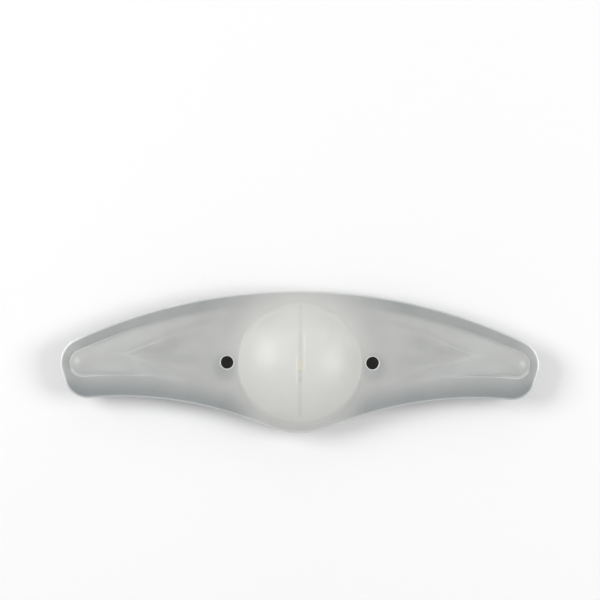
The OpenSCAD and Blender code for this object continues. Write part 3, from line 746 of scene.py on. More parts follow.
@dataclass
class PlanBody:
    """Closed body over a flat plan: an outer and an inner sheet on one set of triangles, joined by walls.

    Attributes:
        rim: Outline of the plan.
        holes: Outlines of its holes.
        loops: Closed lines that edges follow.
        lines: Open lines that edges follow.
        spacing: Distance between the points that fill the plan.
        row_share: Distance between their rows, as a share of the spacing.
        clear_share: Distance that they keep from every loop and line, as a share of the spacing.
        merge_mm: Distance within which points become one.
    """

    row_share: ClassVar[float] = 0.866
    clear_share: ClassVar[float] = 0.62
    merge_mm: ClassVar[float] = 1e-5
    rim: np.ndarray
    holes: list[np.ndarray]
    loops: list[np.ndarray]
    lines: list[np.ndarray]
    spacing: float

    def triangles(self) -> tuple[np.ndarray, np.ndarray]:
        """Triangulates the plan so that edges follow every loop and line.

        Returns:
            Points as rows of x and z, and triangles as rows of three point numbers.
        """
        points, edges = [], []
        for lines, closed in (([self.rim, *self.holes, *self.loops], True), (self.lines, False)):
            for line in lines:
                base, count = len(points), len(line)
                points += [Vector(p) for p in line]
                edges += [(base + i, base + (i + 1) % count) for i in range(count if closed else count - 1)]
        points += self._fill(points)
        places, _, faces, *_ = delaunay_2d_cdt(points, edges, [], 0, self.merge_mm)
        plan = np.array(places)
        corners = np.array([f for f in faces if len(f) == 3])
        middles = plan[corners].mean(1)
        keep = inside(middles, self.rim)
        for hole in self.holes:
            keep &= ~inside(middles, hole)
        used, corners = np.unique(corners[keep], return_inverse=True)
        return plan[used], corners.reshape(-1, 3)

    def _fill(self, taken: Sequence[Vector]) -> list[Vector]:
        """Fills the plan with a triangular grid.

        Args:
            taken: Points that the grid keeps clear of.

        Returns:
            Points of the grid.
        """
        tree = kdtree.KDTree(len(taken))
        for i, p in enumerate(taken):
            tree.insert((*p, 0.0), i)
        tree.balance()
        low, high = self.rim.min(0), self.rim.max(0)
        rows = np.arange(low[1], high[1], self.spacing * self.row_share)
        grid = np.array([(x + (k % 2) * self.spacing / 2, z) for k, z in enumerate(rows)
                         for x in np.arange(low[0], high[0], self.spacing)])
        grid = grid[inside(grid, self.rim)]
        clear = self.spacing * self.clear_share
        return [Vector(p) for p in grid if tree.find((*p, 0.0))[2] > clear]

    def mesh(self, name: str, plan: np.ndarray, corners: np.ndarray) -> Mesh:
        """Makes the flat closed mesh, with an attribute that is 1 on the outer sheet and 0 on the inner one.

        Args:
            name: Name of the mesh.
            plan: Points from triangles().
            corners: Triangles from triangles().

        Returns:
            The mesh, whose outer points come first.
        """
        count = len(plan)
        flat = np.stack([plan[:, 0], np.zeros(count), plan[:, 1]], 1)
        directed = {(a, b) for t in corners for a, b in ((t[0], t[1]), (t[1], t[2]), (t[2], t[0]))}
        walls = [(b, a, a + count, b + count) for a, b in directed if (b, a) not in directed]
        faces = [tuple(t) for t in corners] + [tuple(t[::-1] + count) for t in corners] + sorted(walls)
        mesh = bpy.data.meshes.new(name)
        mesh.from_pydata(np.concatenate([flat, flat]).tolist(), [], [tuple(map(int, f)) for f in faces])
        add_attribute(mesh, "outer", np.ones(count), np.zeros(count))
        return mesh


def add_attribute(mesh: Mesh, name: str, outer: np.ndarray, inner: np.ndarray) -> None:
    """Stores one number for each plan point on the outer and the inner sheet of a PlanBody's mesh."""
    attribute = mesh.attributes.new(name, "FLOAT", "POINT")
    attribute.data.foreach_set("value", np.concatenate([outer, inner]).astype(np.float32))


def new_object(name: str, mesh: Mesh) -> Piece:
    """Puts a mesh into the scene.

    Args:
        name: Name of the object.
        mesh: Its mesh, in metres.

    Returns:
        The object, at the origin.
    """
    piece = bpy.data.objects.new(name, mesh)
    bpy.context.scene.collection.objects.link(piece)
    return piece


def tidy_normals(mesh: Mesh, sharp_degrees: float) -> None:
    """Points a closed mesh outwards and shades it smoothly.

    Args:
        mesh: The mesh.
        sharp_degrees: Angle past which an edge stays sharp.
    """
    work = bmesh.new()
    work.from_mesh(mesh)
    bmesh.ops.recalc_face_normals(work, faces=work.faces)
    work.to_mesh(mesh)
    work.free()
    mesh.shade_smooth()
    mesh.set_sharp_from_angle(angle=math.radians(sharp_degrees))


def grown_mesh(piece: Piece, tree: bpy.types.NodeTree, sizes: Mapping[str, float]) -> Mesh:
    """Runs a geometry tree on a piece and takes what it makes as a plain mesh.

    Args:
        piece: Object that the tree starts from. It is left without a modifier.
        tree: The tree.
        sizes: Values for the tree's named inputs.

    Returns:
        The new mesh.
    """
    modifier = piece.modifiers.new("relief", "NODES")
    modifier.node_group = tree
    for item in tree.interface.items_tree:
        if item.in_out == "INPUT" and item.name in sizes:
            modifier[item.identifier] = float(sizes[item.name])
    graph = bpy.context.evaluated_depsgraph_get()
    source = piece.evaluated_get(graph)
    mesh = bpy.data.meshes.new_from_object(source, preserve_all_data_layers=True, depsgraph=graph)
    piece.modifiers.clear()
    return mesh


class Side(Enum):
    """Which of the two shells, by the sign of its y."""

    FRONT = -1
    REAR = 1


@dataclass(frozen=True)
class Patch:
    """Soft patch of painted light, or of painted shade, along a straight line on each wing, in mm.

    Attributes:
        z: Height of the line.
        half: Distance from the line up to which the patch is full, and at which it ends.
        start: Distances from the middle between which it comes in.
        end: Distances from the middle between which it goes out.
        strength: Its share at full strength.
        slope: How far the line rises for each mm towards the middle.
        slope_x: Distance from the middle at which a sloping line has the height z.
    """

    z: float
    half: tuple[float, float]
    start: tuple[float, float]
    end: tuple[float, float]
    strength: float
    slope: float = 0.0
    slope_x: float = 0.0

    def mask(self, out: Value, z: Value) -> Value:
        """Strength of the patch at a distance from the middle and a height."""
        off = abs(z - self.z - (self.slope_x - out) * self.slope)
        return off.fade(*self.half) * out.ease(*self.start) * out.fade(*self.end) * self.strength


@dataclass(frozen=True)
class ShellPlace:
    """Place on a shell as its shader sees it, in mm.

    Attributes:
        maker: Maker for the shader's tree.
        x: Distance to the right of the middle.
        y: Distance behind the seam.
        z: Distance above the middle.
        rim_gap: Distance inside the outline.
        depth: Distance inside a tongue's border, below zero outside it.
    """

    maker: NodeMaker
    x: Value
    y: Value
    z: Value
    rim_gap: Value
    depth: Value

    @cached_property
    def out(self) -> Value:
        """Distance from the middle to either side."""
        return abs(self.x)

    @cached_property
    def at_end(self) -> Value:
        """1 round the outer end of a tongue, and 0 further in."""
        return self.out.ease(78.0, 86.0)

    @cached_property
    def at_tip(self) -> Value:
        """1 on the outermost stretch of a wing above its lower corner, and 0 elsewhere."""
        return self.out.ease(84.0, 92.0) * self.z.ease(-12.0, -4.0)


@dataclass(frozen=True)
class MilkyPlastic:
    """Frosted, milky plastic of the shells: whiter over the core, with painted light spreading round it, and
    greyer along the thin brim, where the grey is painted shade.

    Each step of the painted light and shade is a mask from 0 to 1, with its edges in mm, times its share of
    a colour.
    """

    name: str
    side: Side
    plan: WingPlan
    wing: Colour = srgb(184, 185, 183)
    # Grey of the thin brim, used as painted shade in the brim bands, round the holes and in the shade
    # patches; the grey clouds use it too.
    brim: Colour = srgb(142, 146, 147)
    core: Colour = srgb(218, 218, 214)
    # Pale colour of painted highlights and painted light patches; the pale clouds and frost use it too.
    painted_highlight_and_pale_cloud: Colour = srgb(224, 227, 227)
    board: Colour = srgb(184, 185, 182)
    lamp: Colour = srgb(214, 210, 184)
    lit_edge: Colour = (0.86, 0.86, 0.84)
    rough: float = 0.38
    ior: float = 1.46
    subsurface: float = 0.5
    depth_mm: float = 3.0
    scatter: Colour = (1.0, 1.0, 0.95)
    clouds_per_metre: float = 70.0
    cloud_shade: float = 0.3
    cloud_gloss: float = 0.08
    frost_per_metre: float = 1500.0
    frost_shade: float = 0.2
    frost_gloss: float = 0.14
    frost_bump: float = 0.12
    frost_mm: float = 0.1
    painted_light_patches: tuple[Patch, ...] = (
        Patch(z=-2.2, half=(0.8, 3.2), start=(44.0, 54.0), end=(62.0, 69.0), strength=0.25,
              slope=-0.22, slope_x=64.0),
        Patch(z=6.3, half=(0.8, 3.0), start=(46.0, 53.0), end=(57.0, 63.0), strength=0.12),
        Patch(z=9.0, half=(3.0, 8.0), start=(26.0, 32.0), end=(42.0, 50.0), strength=0.07),
    )
    painted_shade_patches: tuple[Patch, ...] = (
        Patch(z=1.2, half=(1.0, 3.0), start=(36.0, 46.0), end=(60.0, 66.0), strength=0.13),
        Patch(z=11.5, half=(0.4, 1.9), start=(33.0, 40.0), end=(50.0, 57.0), strength=0.14,
              slope=0.278, slope_x=54.0),
        Patch(z=6.2, half=(0.8, 2.2), start=(56.0, 60.0), end=(66.5, 69.5), strength=0.16,
              slope=0.4, slope_x=62.0),
    )

    def material(self) -> bpy.types.Material:
        """Builds the material.

        Returns:
            The new material.
        """
        material, maker, shader = new_material(self.name)
        place = maker.place()
        x, y, z = (v * MM_PER_METRE for v in maker.axes(place))
        rim_gap, depth = (maker.output("ShaderNodeAttribute", "Fac", {"attribute_name": name})
                          for name in ("rim_gap", "tongue_depth"))
        at = ShellPlace(maker, x, y, z, rim_gap, depth)
        # Painted shade: grey bands along the thin brim.
        colour = maker.mix(self._brim_painted_shade(at), self.wing, self.brim)
        steps = [self._fork, self._light_lines, self._holes]
        if self.side is Side.FRONT:
            steps += [self._core_disc, self._board_line]
        for step in steps:
            colour = step(at, colour)
        clouds = self._noise(maker, place, self.clouds_per_metre, 2.0)
        frost = self._noise(maker, place, self.frost_per_metre, 3.0)
        grey = (clouds - 0.5).most(0.0) * self.cloud_shade
        pale = (0.5 - clouds).most(0.0) * self.cloud_shade + (frost - 0.5).most(0.0) * self.frost_shade
        colour = maker.mix(pale, maker.mix(grey, colour, self.brim), self.painted_highlight_and_pale_cloud)
        gloss = (frost - 0.5) * self.frost_gloss + (clouds - 0.5) * self.cloud_gloss
        height = {"Strength": self.frost_bump, "Distance": self.frost_mm * MM, "Height": frost}
        maker.feed(shader, {
            "Base Color": colour,
            "Roughness": gloss + self.rough,
            "Normal": maker.add("ShaderNodeBump", None, height).outputs["Normal"],
            "IOR": self.ior,
            "Subsurface Weight": self.subsurface,
            "Subsurface Radius": self.scatter,
            "Subsurface Scale": self.depth_mm * MM,
        })
        return material

    @staticmethod
    def _noise(maker: NodeMaker, place: Socket, scale: float, detail: float) -> Value:
        """Adds a soft noise from 0 to 1."""
        sockets = {"Vector": place, "Scale": scale, "Detail": detail, "Roughness": 0.55}
        return maker.output("ShaderNodeTexNoise", "Fac", None, sockets)

    def _brim_painted_shade(self, at: ShellPlace) -> Value:
        """Painted shade in grey bands on the thin brim: below the tongues, above them, on the crest and at
        the lower corners.

        Args:
            at: Place on the shell.

        Returns:
            Share of the brim's grey, painted on as shade.
        """
        out, upper = at.out, at.z.ease(-1.0, 5.0)
        low = at.rim_gap.fade(0.0, 11.0) * (1.0 - upper) * out.ease(12.0, 30.0)
        low = low * (0.9 + out.ease(62.0, 80.0) * 0.1)
        low = low * at.depth.fade(-0.3, 4.5 - out.ease(60.0, 78.0) * 4.0)
        top = at.depth.fade(-0.4, 2.4 - at.at_end * 1.8) * upper * out.ease(18.0, 42.0)
        crest = at.rim_gap.fade(1.0, 8.0) * upper * out.ease(12.0, 24.0) * out.fade(38.0, 52.0)
        corner = out.ease(80.0, 86.0) * at.z.fade(-9.0, -5.0)
        return (low + top * 0.52 + crest * 0.15 + corner * 0.08) * (1.0 - at.at_tip * 0.68)

    def _fork(self, at: ShellPlace, colour: Socket) -> Socket:
        """Paints light and shade between the two branches of a tongue, to even out the relief's own light
        and shade there.

        Args:
            at: Place on the shell.
            colour: Socket of the colour so far.

        Returns:
            Socket of the colour.
        """
        light, grey = (sum(patch.mask(at.out, at.z) for patch in patches)
                       for patches in (self.painted_light_patches, self.painted_shade_patches))
        # Painted shade from the shade patches and painted light from the light patches.
        return at.maker.mix(grey, at.maker.mix(light, colour, self.painted_highlight_and_pale_cloud), self.brim)

    def _light_lines(self, at: ShellPlace, colour: Socket) -> Socket:
        """Painted light that thin edges catch: a tongue's lower wall, its border and foot, its fork, and the
        rim.

        Args:
            at: Place on the shell.
            colour: Socket of the colour so far.

        Returns:
            Socket of the colour.
        """
        plan, x, z, out = self.plan, at.x, at.z, at.out
        # Painted light over the shade of a tongue's lower wall and of its foot, and painted highlights along
        # its border, its fork and the rim.
        wall = at.depth.ease(0.0, 1.0) * out.ease(56.0, 70.0) * (1.0 - out.ease(77.0, 86.0) * 0.6)
        colour = at.maker.mix(wall * (0.4 - z.ease(-4.5, 1.5) * 0.3), colour, self.painted_highlight_and_pale_cloud)
        line = at.depth.near(0.3, 0.1, 0.6) * out.ease(58.0, 82.0) * (0.3 + at.at_end * 0.12)
        foot = at.depth.near(0.25, 0.25, 0.9) * out.ease(53.0, 63.0) * z.fade(-4.0, -1.0)
        foot = foot * (0.52 + out.ease(73.0, 83.0) * 0.43)
        upper = z.ease(2.0, 4.0)
        branch = ((plan.fork_x - out) * plan.fork_slope).most(0.0)
        off = abs(abs(z - plan.fork_z) - branch) * (0.6 + upper * 0.4)
        fork = off.fade(0.1, 0.8) * out.ease(48.0, 60.0) * out.fade(68.0, 75.0)
        fork = fork * (0.6 + upper * (0.4 - x.ease(-9.0, 9.0) * 0.4))
        rim = at.rim_gap.fade(0.3, 0.95) * (0.5 + at.at_tip * 0.35)
        return at.maker.mix(line.most(rim).most(fork * 0.22).most(foot), colour, self.painted_highlight_and_pale_cloud)

    def _holes(self, at: ShellPlace, colour: Socket) -> Socket:
        """Painted shade round the spoke holes, and painted highlights on their collars and on the pips at
        the ends of the tongues.

        Args:
            at: Place on the shell.
            colour: Socket of the colour so far.

        Returns:
            Socket of the colour.
        """
        plan, maker, out = self.plan, at.maker, at.out
        # Painted shade below and round each hole; painted highlights on the collar and the pip.
        painted_hole_shade = maker.reach(out - plan.hole_x, at.z + 1.7).fade(2.6, 7.4) * out.ease(23.0, 27.0)
        collar = maker.reach(out - plan.hole_x, at.z).fade(plan.hole_r + 0.2, plan.hole_r + 0.6)
        pip = maker.reach(out - plan.pip_x, at.z - plan.pip_z).fade(0.3, 1.5)
        colour = maker.mix(painted_hole_shade * 0.45, colour, self.brim)
        return maker.mix((pip * 0.27).most(collar * 0.55), colour, self.painted_highlight_and_pale_cloud)

    def _core_disc(self, at: ShellPlace, colour: Socket) -> Socket:
        """Adds the pale core that shows through the dome, with painted light spreading round it, and painted
        light and shade at its edge.

        Args:
            at: Place on the shell.
            colour: Socket of the colour so far.

        Returns:
            Socket of the colour.
        """
        z, reach = at.z, at.maker.reach(at.x, at.z)
        # Painted light and shade: the disc's edge is softer towards the top and bottom, its upper part is
        # painted darker, and the light spreading round it is brighter above than below.
        rise, top, low = z.ease(4.0, 14.0), z.ease(18.5, 25.0), z.fade(-22.0, -6.0)
        full_r = 23.5 - rise * 0.8 - top * 5.4 - low * 1.2
        end_r = 25.7 + rise * 0.6 + top * 2.1 + low * 0.3
        painted_glow = reach.fade(21.5, 34.0) * (0.12 + z.ease(-18.0, 12.0) * 0.48)
        disc = reach.fade(full_r, end_r) - z.ease(9.0, 20.0) * reach.fade(21.5, 25.5) * 0.28
        # Painted light on the crease round the dome's foot, in its lower half and near its top.
        foot = reach.near(24.1, 0.4, 1.8) * z.fade(-8.0, 4.0)
        painted_light_top_crease = reach.near(22.8, 0.3, 1.6) * z.ease(12.0, 19.0)
        return at.maker.mix(disc.most(painted_glow) + (foot + painted_light_top_crease) * 0.12, colour, self.core)

    def _board_line(self, at: ShellPlace, colour: Socket) -> Socket:
        """Adds what shows of the board through the dome: its edge, the warm lamps and lit corners beside it.

        Args:
            at: Place on the shell.
            colour: Socket of the colour so far.

        Returns:
            Socket of the colour.
        """
        maker, x, z = at.maker, at.x, at.z
        ends = z.ease(-22.5, -20.0) * z.fade(22.6, 23.8) * at.y.fade(-3.0, -2.0)
        warm = z.ease(-4.4, -3.4) * z.fade(0.6, 1.8)
        colour = maker.mix(x.near(0.25, 0.5, 1.0) * warm * ends * 0.62, colour, self.lamp)
        strong = z.near(-6.0, 0.6, 2.0) * 0.24 + z.near(8.0, 1.5, 6.0) * 0.1 + z.near(-3.3, 0.3, 1.1) * 0.3
        strong = strong + 0.22 - warm * 0.18
        colour = maker.mix(x.near(0.2, 0.35, 1.15) * ends * strong, colour, self.board)
        right = x.near(1.9, 0.2, 0.7) * z.ease(-4.0, -1.0) * z.fade(10.0, 14.0)
        left = x.near(-1.2, 0.2, 0.6) * z.ease(-9.0, -7.0) * z.fade(2.0, 4.0)
        return maker.mix(right.most(left) * ends * 0.3, colour, self.lit_edge)


@dataclass(frozen=True)
class ReliefPoint:
    """Point of the flat plan in a relief tree.

    Attributes:
        maker: Maker for the tree.
        size: The tree's named inputs, in mm.
        x: Distance to the right of the middle, in mm.
        z: Distance above the middle, in mm.
    """

    maker: NodeMaker
    size: Mapping[str, Value]
    x: Value
    z: Value

    @cached_property
    def out(self) -> Value:
        """Distance from the middle to either side."""
        return abs(self.x)

    @cached_property
    def reach(self) -> Value:
        """Distance from the axis of the dome."""
        return self.maker.reach(self.x, self.z)

    def stored(self, name: str) -> Value:
        """Number that the plan's mesh stores at this point."""
        settings = {"data_type": "FLOAT"}
        return self.maker.output("GeometryNodeInputNamedAttribute", "Attribute", settings, {"Name": name})


@dataclass
class Shell:
    """One of the two shells, as a smooth closed skin in place of its faceted solid. Sizes are in mm."""

    side: Side
    plan: WingPlan
    rear: RearPlan
    body: str = "light"
    rim_t: float = 1.5
    edge_r: float = 0.65
    seam_gap: float = 0.02
    seam_cut: float = 0.12
    tongue_h: float = 3.2
    tongue_full_x: float = 60.0
    wall_w: float = 6.0
    wall_foot: float = 0.5
    wall_soft_x: float = 45.0
    wall_round_x: float = 80.0
    fork_soft: float = 7.0
    hollow_wall: float = 1.2
    hollow_start_x: float = 46.0
    hollow_full_x: float = 52.0
    sink: float = 0.25
    collar_wall: float = 0.5
    collar_rise: float = 0.25
    collar_soft: float = 0.1
    lip_w: float = 0.18
    lip_drop: float = 0.12
    pip_r: float = 1.2
    pip_flat_r: float = 0.3
    pip_rise: float = 0.1
    dome_r: float = 24.2
    dome_h: float = 12.48
    dome_wall: float = 1.6
    foot_soft: float = 1.6
    mouth_r: float = 22.2
    mouth_step: float = 0.08
    boss_r: float = 25.0
    boss_h: float = 9.4
    boss_lean: float = 36.0
    boss_edge_r: float = 2.2
    boss_wall: float = 1.5
    land_wall: float = 2.0
    seat_r: float = 23.3
    seat_step: float = 0.06
    seat_depth: float = 1.25
    button_hole_r: float = 5.65
    button_edge_r: float = 0.3
    stud_hole_r: float = 0.85
    flap_clear: float = 0.2
    ledge_clear: float = 0.5
    plug_clear: float = 0.3
    recess_deep: float = 1.0
    pocket_corner_r: float = 1.0
    slot_root_r: float = 0.3
    slot_end_r: float = 0.4
    window_corner_r: float = 0.8
    sharp_degrees: float = 38.0
    loop_step: float = 0.9
    border_step: float = 1.0
    pocket_step: float = 0.5
    window_step: float = 0.4
    ring_step: float = 1.1
    fill_step: float = 1.35
    ring_least: int = 16
    hole_points: int = 48
    button_points: int = 72
    stud_points: int = 24
    dome_first_r: float = 3.0
    dome_last_r: float = 21.6
    dome_ring_step: float = 1.24
    edge_loops: tuple[float, ...] = (0.05, 0.15, 0.3, 0.48, 0.65, 1.3)
    wall_loops: tuple[float, ...] = (0.0, 0.06, 0.2, 0.45, 0.85, 1.45, 2.3, 3.4)
    collar_loops: tuple[float, ...] = (0.08, 0.18, 0.42, 0.52, 0.62, 0.85)
    foot_loops: tuple[float, ...] = (-1.0, -0.5, -0.25, -0.12, 0.0, 0.12, 0.25, 0.5, 0.8)
    boss_loops: tuple[float, ...] = (16.4, 17.05, 17.5, 17.95, 18.4, 18.83, 19.4, 20.4, 21.4, 22.3, 23.0,
                                     23.6, 23.85, 24.1, 24.4, 24.8)
    button_loops: tuple[float, ...] = (0.06, 0.16, 0.3, 0.6)
    recess_loops: tuple[float, ...] = (-0.06, 0.0, 0.03, 0.1, 0.2)
    window_loops: tuple[float, ...] = (0.06, 0.16)
    recess_drops: tuple[tuple[float, float], ...] = ((0.11, 0.02), (0.04, 0.09), (0.01, 0.2))
    recess_wall: float = -0.03
    window_drops: tuple[tuple[float, float], ...] = ((0.1, 0.03), (0.03, 0.14))

    @property
    def node(self) -> str:
        """Name of the solid that this skin stands for."""
        return "front_shell" if self.side is Side.FRONT else "rear_shell"

    def recess(self, grow: float) -> np.ndarray:
        """Border of the flap's pocket and strap slot, moved out by grow."""
        radii = (self.pocket_corner_r + grow, self.slot_root_r - grow / 2, self.slot_end_r + grow)
        return self.rear.flap_line(self.flap_clear + grow, self.ledge_clear + grow, radii, self.pocket_step)

    def window(self, grow: float) -> np.ndarray:
        """Border of the window to the socket, moved out by grow."""
        return self.rear.plug_line(self.plug_clear + grow, self.window_corner_r + grow, self.window_step)

    def flat_plan(self) -> PlanBody:
        """Lays out the plan with edges along every feature of this shell.

        Returns:
            The plan.
        """
        plan, rear = self.plan, self.rear
        loops = [plan.outline(inset, self.loop_step) for inset in self.edge_loops]
        borders = [plan.border(depth, self.border_step) for depth in self.wall_loops]
        lines = [side for line in borders for side in (line, line * [-1, 1])]
        holes = []
        for x in (-plan.hole_x, plan.hole_x):
            holes.append(ring((x, 0.0), plan.hole_r, self.hole_points))
            loops += [ring((x, 0.0), plan.hole_r + more, self.hole_points) for more in self.collar_loops]
        if self.side is Side.FRONT:
            radii = [self.mouth_r, self.mouth_r + self.mouth_step]
            radii += list(np.arange(self.dome_first_r, self.dome_last_r, self.dome_ring_step))
            radii += [self.dome_r + more for more in self.foot_loops]
        else:
            radii = [self.seat_r, self.seat_r + self.seat_step, *self.boss_loops]
            button = (0.0, rear.button_z)
            holes += [ring(button, self.button_hole_r, self.button_points), self.window(0.0),
                      ring((rear.port_x, rear.stud_z), self.stud_hole_r, self.stud_points)]
            loops += [ring(button, self.button_hole_r + more, self.button_points)
                      for more in self.button_loops]
            loops += [self.recess(grow) for grow in self.recess_loops]
            loops += [self.window(grow) for grow in self.window_loops]
        counts = [max(int(2 * math.pi * r / self.ring_step), self.ring_least) for r in radii]
        loops += [ring((0.0, 0.0), r, count) for r, count in zip(radii, counts)]
        return PlanBody(plan.outline(0.0, self.loop_step), holes, loops, lines, self.fill_step)

    def cut(self, points: np.ndarray) -> np.ndarray:
        """Depths by which the pocket, the window and the button's hole lower the outer sheet.

        Args:
            points: Rows of x and z.

        Returns:
            The depth at each point.
        """
        lowered = np.zeros(len(points))
        if self.side is Side.FRONT:
            return lowered
        for grow, drop in (*self.recess_drops, (self.recess_wall, self.recess_deep)):
            lowered = np.where(inside(points, self.recess(grow)), drop, lowered)
        soft = self.button_edge_r
        near = np.hypot(points[:, 0], points[:, 1] - self.rear.button_z) - self.button_hole_r
        edge = np.where(near < soft, soft - np.sqrt(np.maximum(soft**2 - (soft - near) ** 2, 0)), 0.0)
        window = np.zeros(len(points))
        for grow, drop in self.window_drops:
            window = np.where(inside(points, self.window(grow)), drop, window)
        return lowered + edge + window

    def _edge_x(self, inset: float, height: float, edge: float) -> float:
        """Distance of the centre of the boss's rounded edge from the axis.

        Args:
            inset: Distance by which the wall lies inside the outer one.
            height: Height of the boss there.
            edge: Radius of the rounded edge.

        Returns:
            The distance.
        """
        lean = math.radians(self.boss_lean)
        foot = self.boss_r * math.cos(lean) - inset
        return (foot - edge - math.sin(lean) * (height - edge)) / math.cos(lean)

    def sizes(self) -> dict[str, float]:
        """Works out the named inputs of the relief tree.

        Returns:
            Each input's value, in mm or as a ratio.
        """
        plan = self.plan
        cap = self.dome_h - self.rim_t
        sphere_r = (self.dome_r**2 + cap**2) / (2 * cap)
        lean = math.radians(self.boss_lean)
        inner_edge = self.boss_edge_r - self.boss_wall
        inner_h = self.boss_h - self.land_wall
        return {
            "rim thickness": self.rim_t, "edge radius": self.edge_r,
            "seam gap": self.seam_gap, "seam cut": self.seam_cut,
            "tongue height": self.tongue_h, "tongue root": plan.tongue_root_x,
            "tongue full": self.tongue_full_x, "tongue wall": self.wall_w, "tongue foot": self.wall_foot,
            "wall soft": self.wall_soft_x, "wall round": self.wall_round_x,
            "tongue end x": plan.tongue_c[0], "tongue end z": plan.tongue_c[1],
            "tongue end radius": plan.tongue_r,
            "crown centre z": plan.crown_c[1], "border top radius": plan.border_top_r,
            "scoop centre x": plan.scoop_c[0], "scoop centre z": plan.scoop_c[1],
            "border low radius": plan.border_low_r,
            "fork x": plan.fork_x, "fork z": plan.fork_z,
            "fork slope": plan.fork_slope, "fork soft": self.fork_soft,
            "hollow wall": self.hollow_wall, "sink": self.sink,
            "hollow start": self.hollow_start_x, "hollow full": self.hollow_full_x,
            "hole x": plan.hole_x, "hole radius": plan.hole_r,
            "collar radius": plan.hole_r + self.collar_wall, "collar rise": self.collar_rise,
            "collar soft": self.collar_soft, "lip width": self.lip_w, "lip drop": self.lip_drop,
            "pip x": plan.pip_x, "pip z": plan.pip_z, "pip radius": self.pip_r, "pip flat": self.pip_flat_r,
            "pip rise": self.pip_rise, "core radius": sphere_r, "core centre": sphere_r - self.dome_h,
            "core wall": self.dome_wall, "foot soft": self.foot_soft,
            "mouth radius": self.mouth_r + self.mouth_step / 2,
            "boss radius": self.boss_r, "boss height": self.boss_h, "boss edge": self.boss_edge_r,
            "boss edge x": self._edge_x(0.0, self.boss_h, self.boss_edge_r),
            "boss slope": math.tan(lean), "boss lean x": math.cos(lean),
            "inner radius": self.boss_r - self.boss_wall / math.cos(lean), "inner height": inner_h,
            "inner edge": inner_edge, "inner edge x": self._edge_x(self.boss_wall, inner_h, inner_edge),
            "seat radius": self.seat_r + self.seat_step / 2, "seat depth": self.seat_depth,
        }

    def relief(self, material: bpy.types.Material) -> bpy.types.NodeTree:
        """Builds the tree that raises the flat plan into this shell.

        Args:
            material: Finish that the tree sets.

        Returns:
            A geometry tree with one named input for each size.
        """
        names = list(self.sizes())
        tree = bpy.data.node_groups.new(f"{self.node}_relief", "GeometryNodeTree")
        tree.interface.new_socket("Geometry", in_out="INPUT", socket_type="NodeSocketGeometry")
        for name in names:
            tree.interface.new_socket(name, in_out="INPUT", socket_type="NodeSocketFloat")
        tree.interface.new_socket("Geometry", in_out="OUTPUT", socket_type="NodeSocketGeometry")
        maker = NodeMaker(tree)
        source = maker.add("NodeGroupInput")
        x, _, z = maker.axes(maker.add("GeometryNodeInputPosition").outputs[0])
        at = ReliefPoint(maker, {name: Value(maker, source.outputs[name]) for name in names}, x, z)
        height = self._inner(at).towards(self._outer(at), at.stored("outer"))
        y = height * float(self.side.value)
        place = maker.add("ShaderNodeCombineXYZ", None, {0: x * MM, 1: y * MM, 2: z * MM})
        raised = maker.add("GeometryNodeSetPosition", None,
                           {"Geometry": source.outputs["Geometry"], "Position": place.outputs[0]})
        solid = maker.add("GeometryNodeRealizeInstances", None, {"Geometry": raised.outputs["Geometry"]})
        dressed = maker.add("GeometryNodeSetMaterial", None,
                            {"Geometry": solid.outputs["Geometry"], "Material": material})
        maker.add("NodeGroupOutput", None, {"Geometry": dressed.outputs["Geometry"]})
        return tree

    def _depth(self, at: ReliefPoint) -> Value:
        """Distance inside the border of a tongue.

        Args:
            at: Point of the plan.

        Returns:
            The distance, below zero outside the border.
        """
        size, reach, out = at.size, at.maker.reach, at.out
        over_crown, over_scoop = at.z - size["crown centre z"], at.z - size["scoop centre z"]
        past_scoop = out - size["scoop centre x"]
        end_over_crown = size["tongue end z"] - size["crown centre z"]
        end_over_scoop = size["tongue end z"] - size["scoop centre z"]
        end_past_scoop = size["tongue end x"] - size["scoop centre x"]
        end = size["tongue end radius"] - reach(out - size["tongue end x"], at.z - size["tongue end z"])
        top = size["border top radius"] - reach(out, over_crown)
        low = reach(past_scoop, over_scoop) - size["border low radius"]
        past_top = (out * end_over_crown - over_crown * size["tongue end x"]).above(0.0)
        past_low = (past_scoop * end_over_scoop - over_scoop * end_past_scoop).above(0.0)
        return top.least(low).towards(end, past_top * past_low)

    def _rise(self, at: ReliefPoint, inset: Value | float) -> Value:
        """Height of a tongue above the brim.

        Args:
            at: Point of the plan.
            inset: Distance by which the tongue's border is moved in.

        Returns:
            The height.
        """
        size, out, foot = at.size, at.out, at.size["tongue foot"]
        within = (self._depth(at) - inset).most(0.0)
        share = (((within * within + foot * foot).root() - foot) / (size["tongue wall"] - foot)).least(1.0)
        soft = share * share * (3.0 - share * 2.0)
        quarter = (1.0 - (1.0 - share) * (1.0 - share)).root()
        wall = soft.towards(quarter, out.ease(size["wall soft"], size["wall round"]))
        open_by = (size["fork x"] - out) * size["fork slope"] - abs(at.z - size["fork z"]) + inset
        full = size["tongue height"] * out.ease(size["tongue root"], size["tongue full"])
        return full * wall * open_by.fade(0.0, size["fork soft"])

    @staticmethod
    def _cap(at: ReliefPoint, radius: Value) -> Value:
        """Height of a sphere of the given radius about the dome's centre."""
        return (radius * radius - at.reach * at.reach).root() - at.size["core centre"]

    @staticmethod
    def _boss(at: ReliefPoint, kind: str) -> Value:
        """Height of the boss.

        Args:
            at: Point of the plan.
            kind: "boss" for its outside, or "inner" for its inside.

        Returns:
            The height.
        """
        size = at.size
        edge, edge_x = size[f"{kind} edge"], size[f"{kind} edge x"]
        over = (at.reach - edge_x).most(0.0)
        top = size[f"{kind} height"] - edge + (edge * edge - over * over).root()
        lean = (size[f"{kind} radius"] - at.reach) / size["boss slope"]
        return top.towards(lean, at.reach.above(edge_x + edge * size["boss lean x"]))

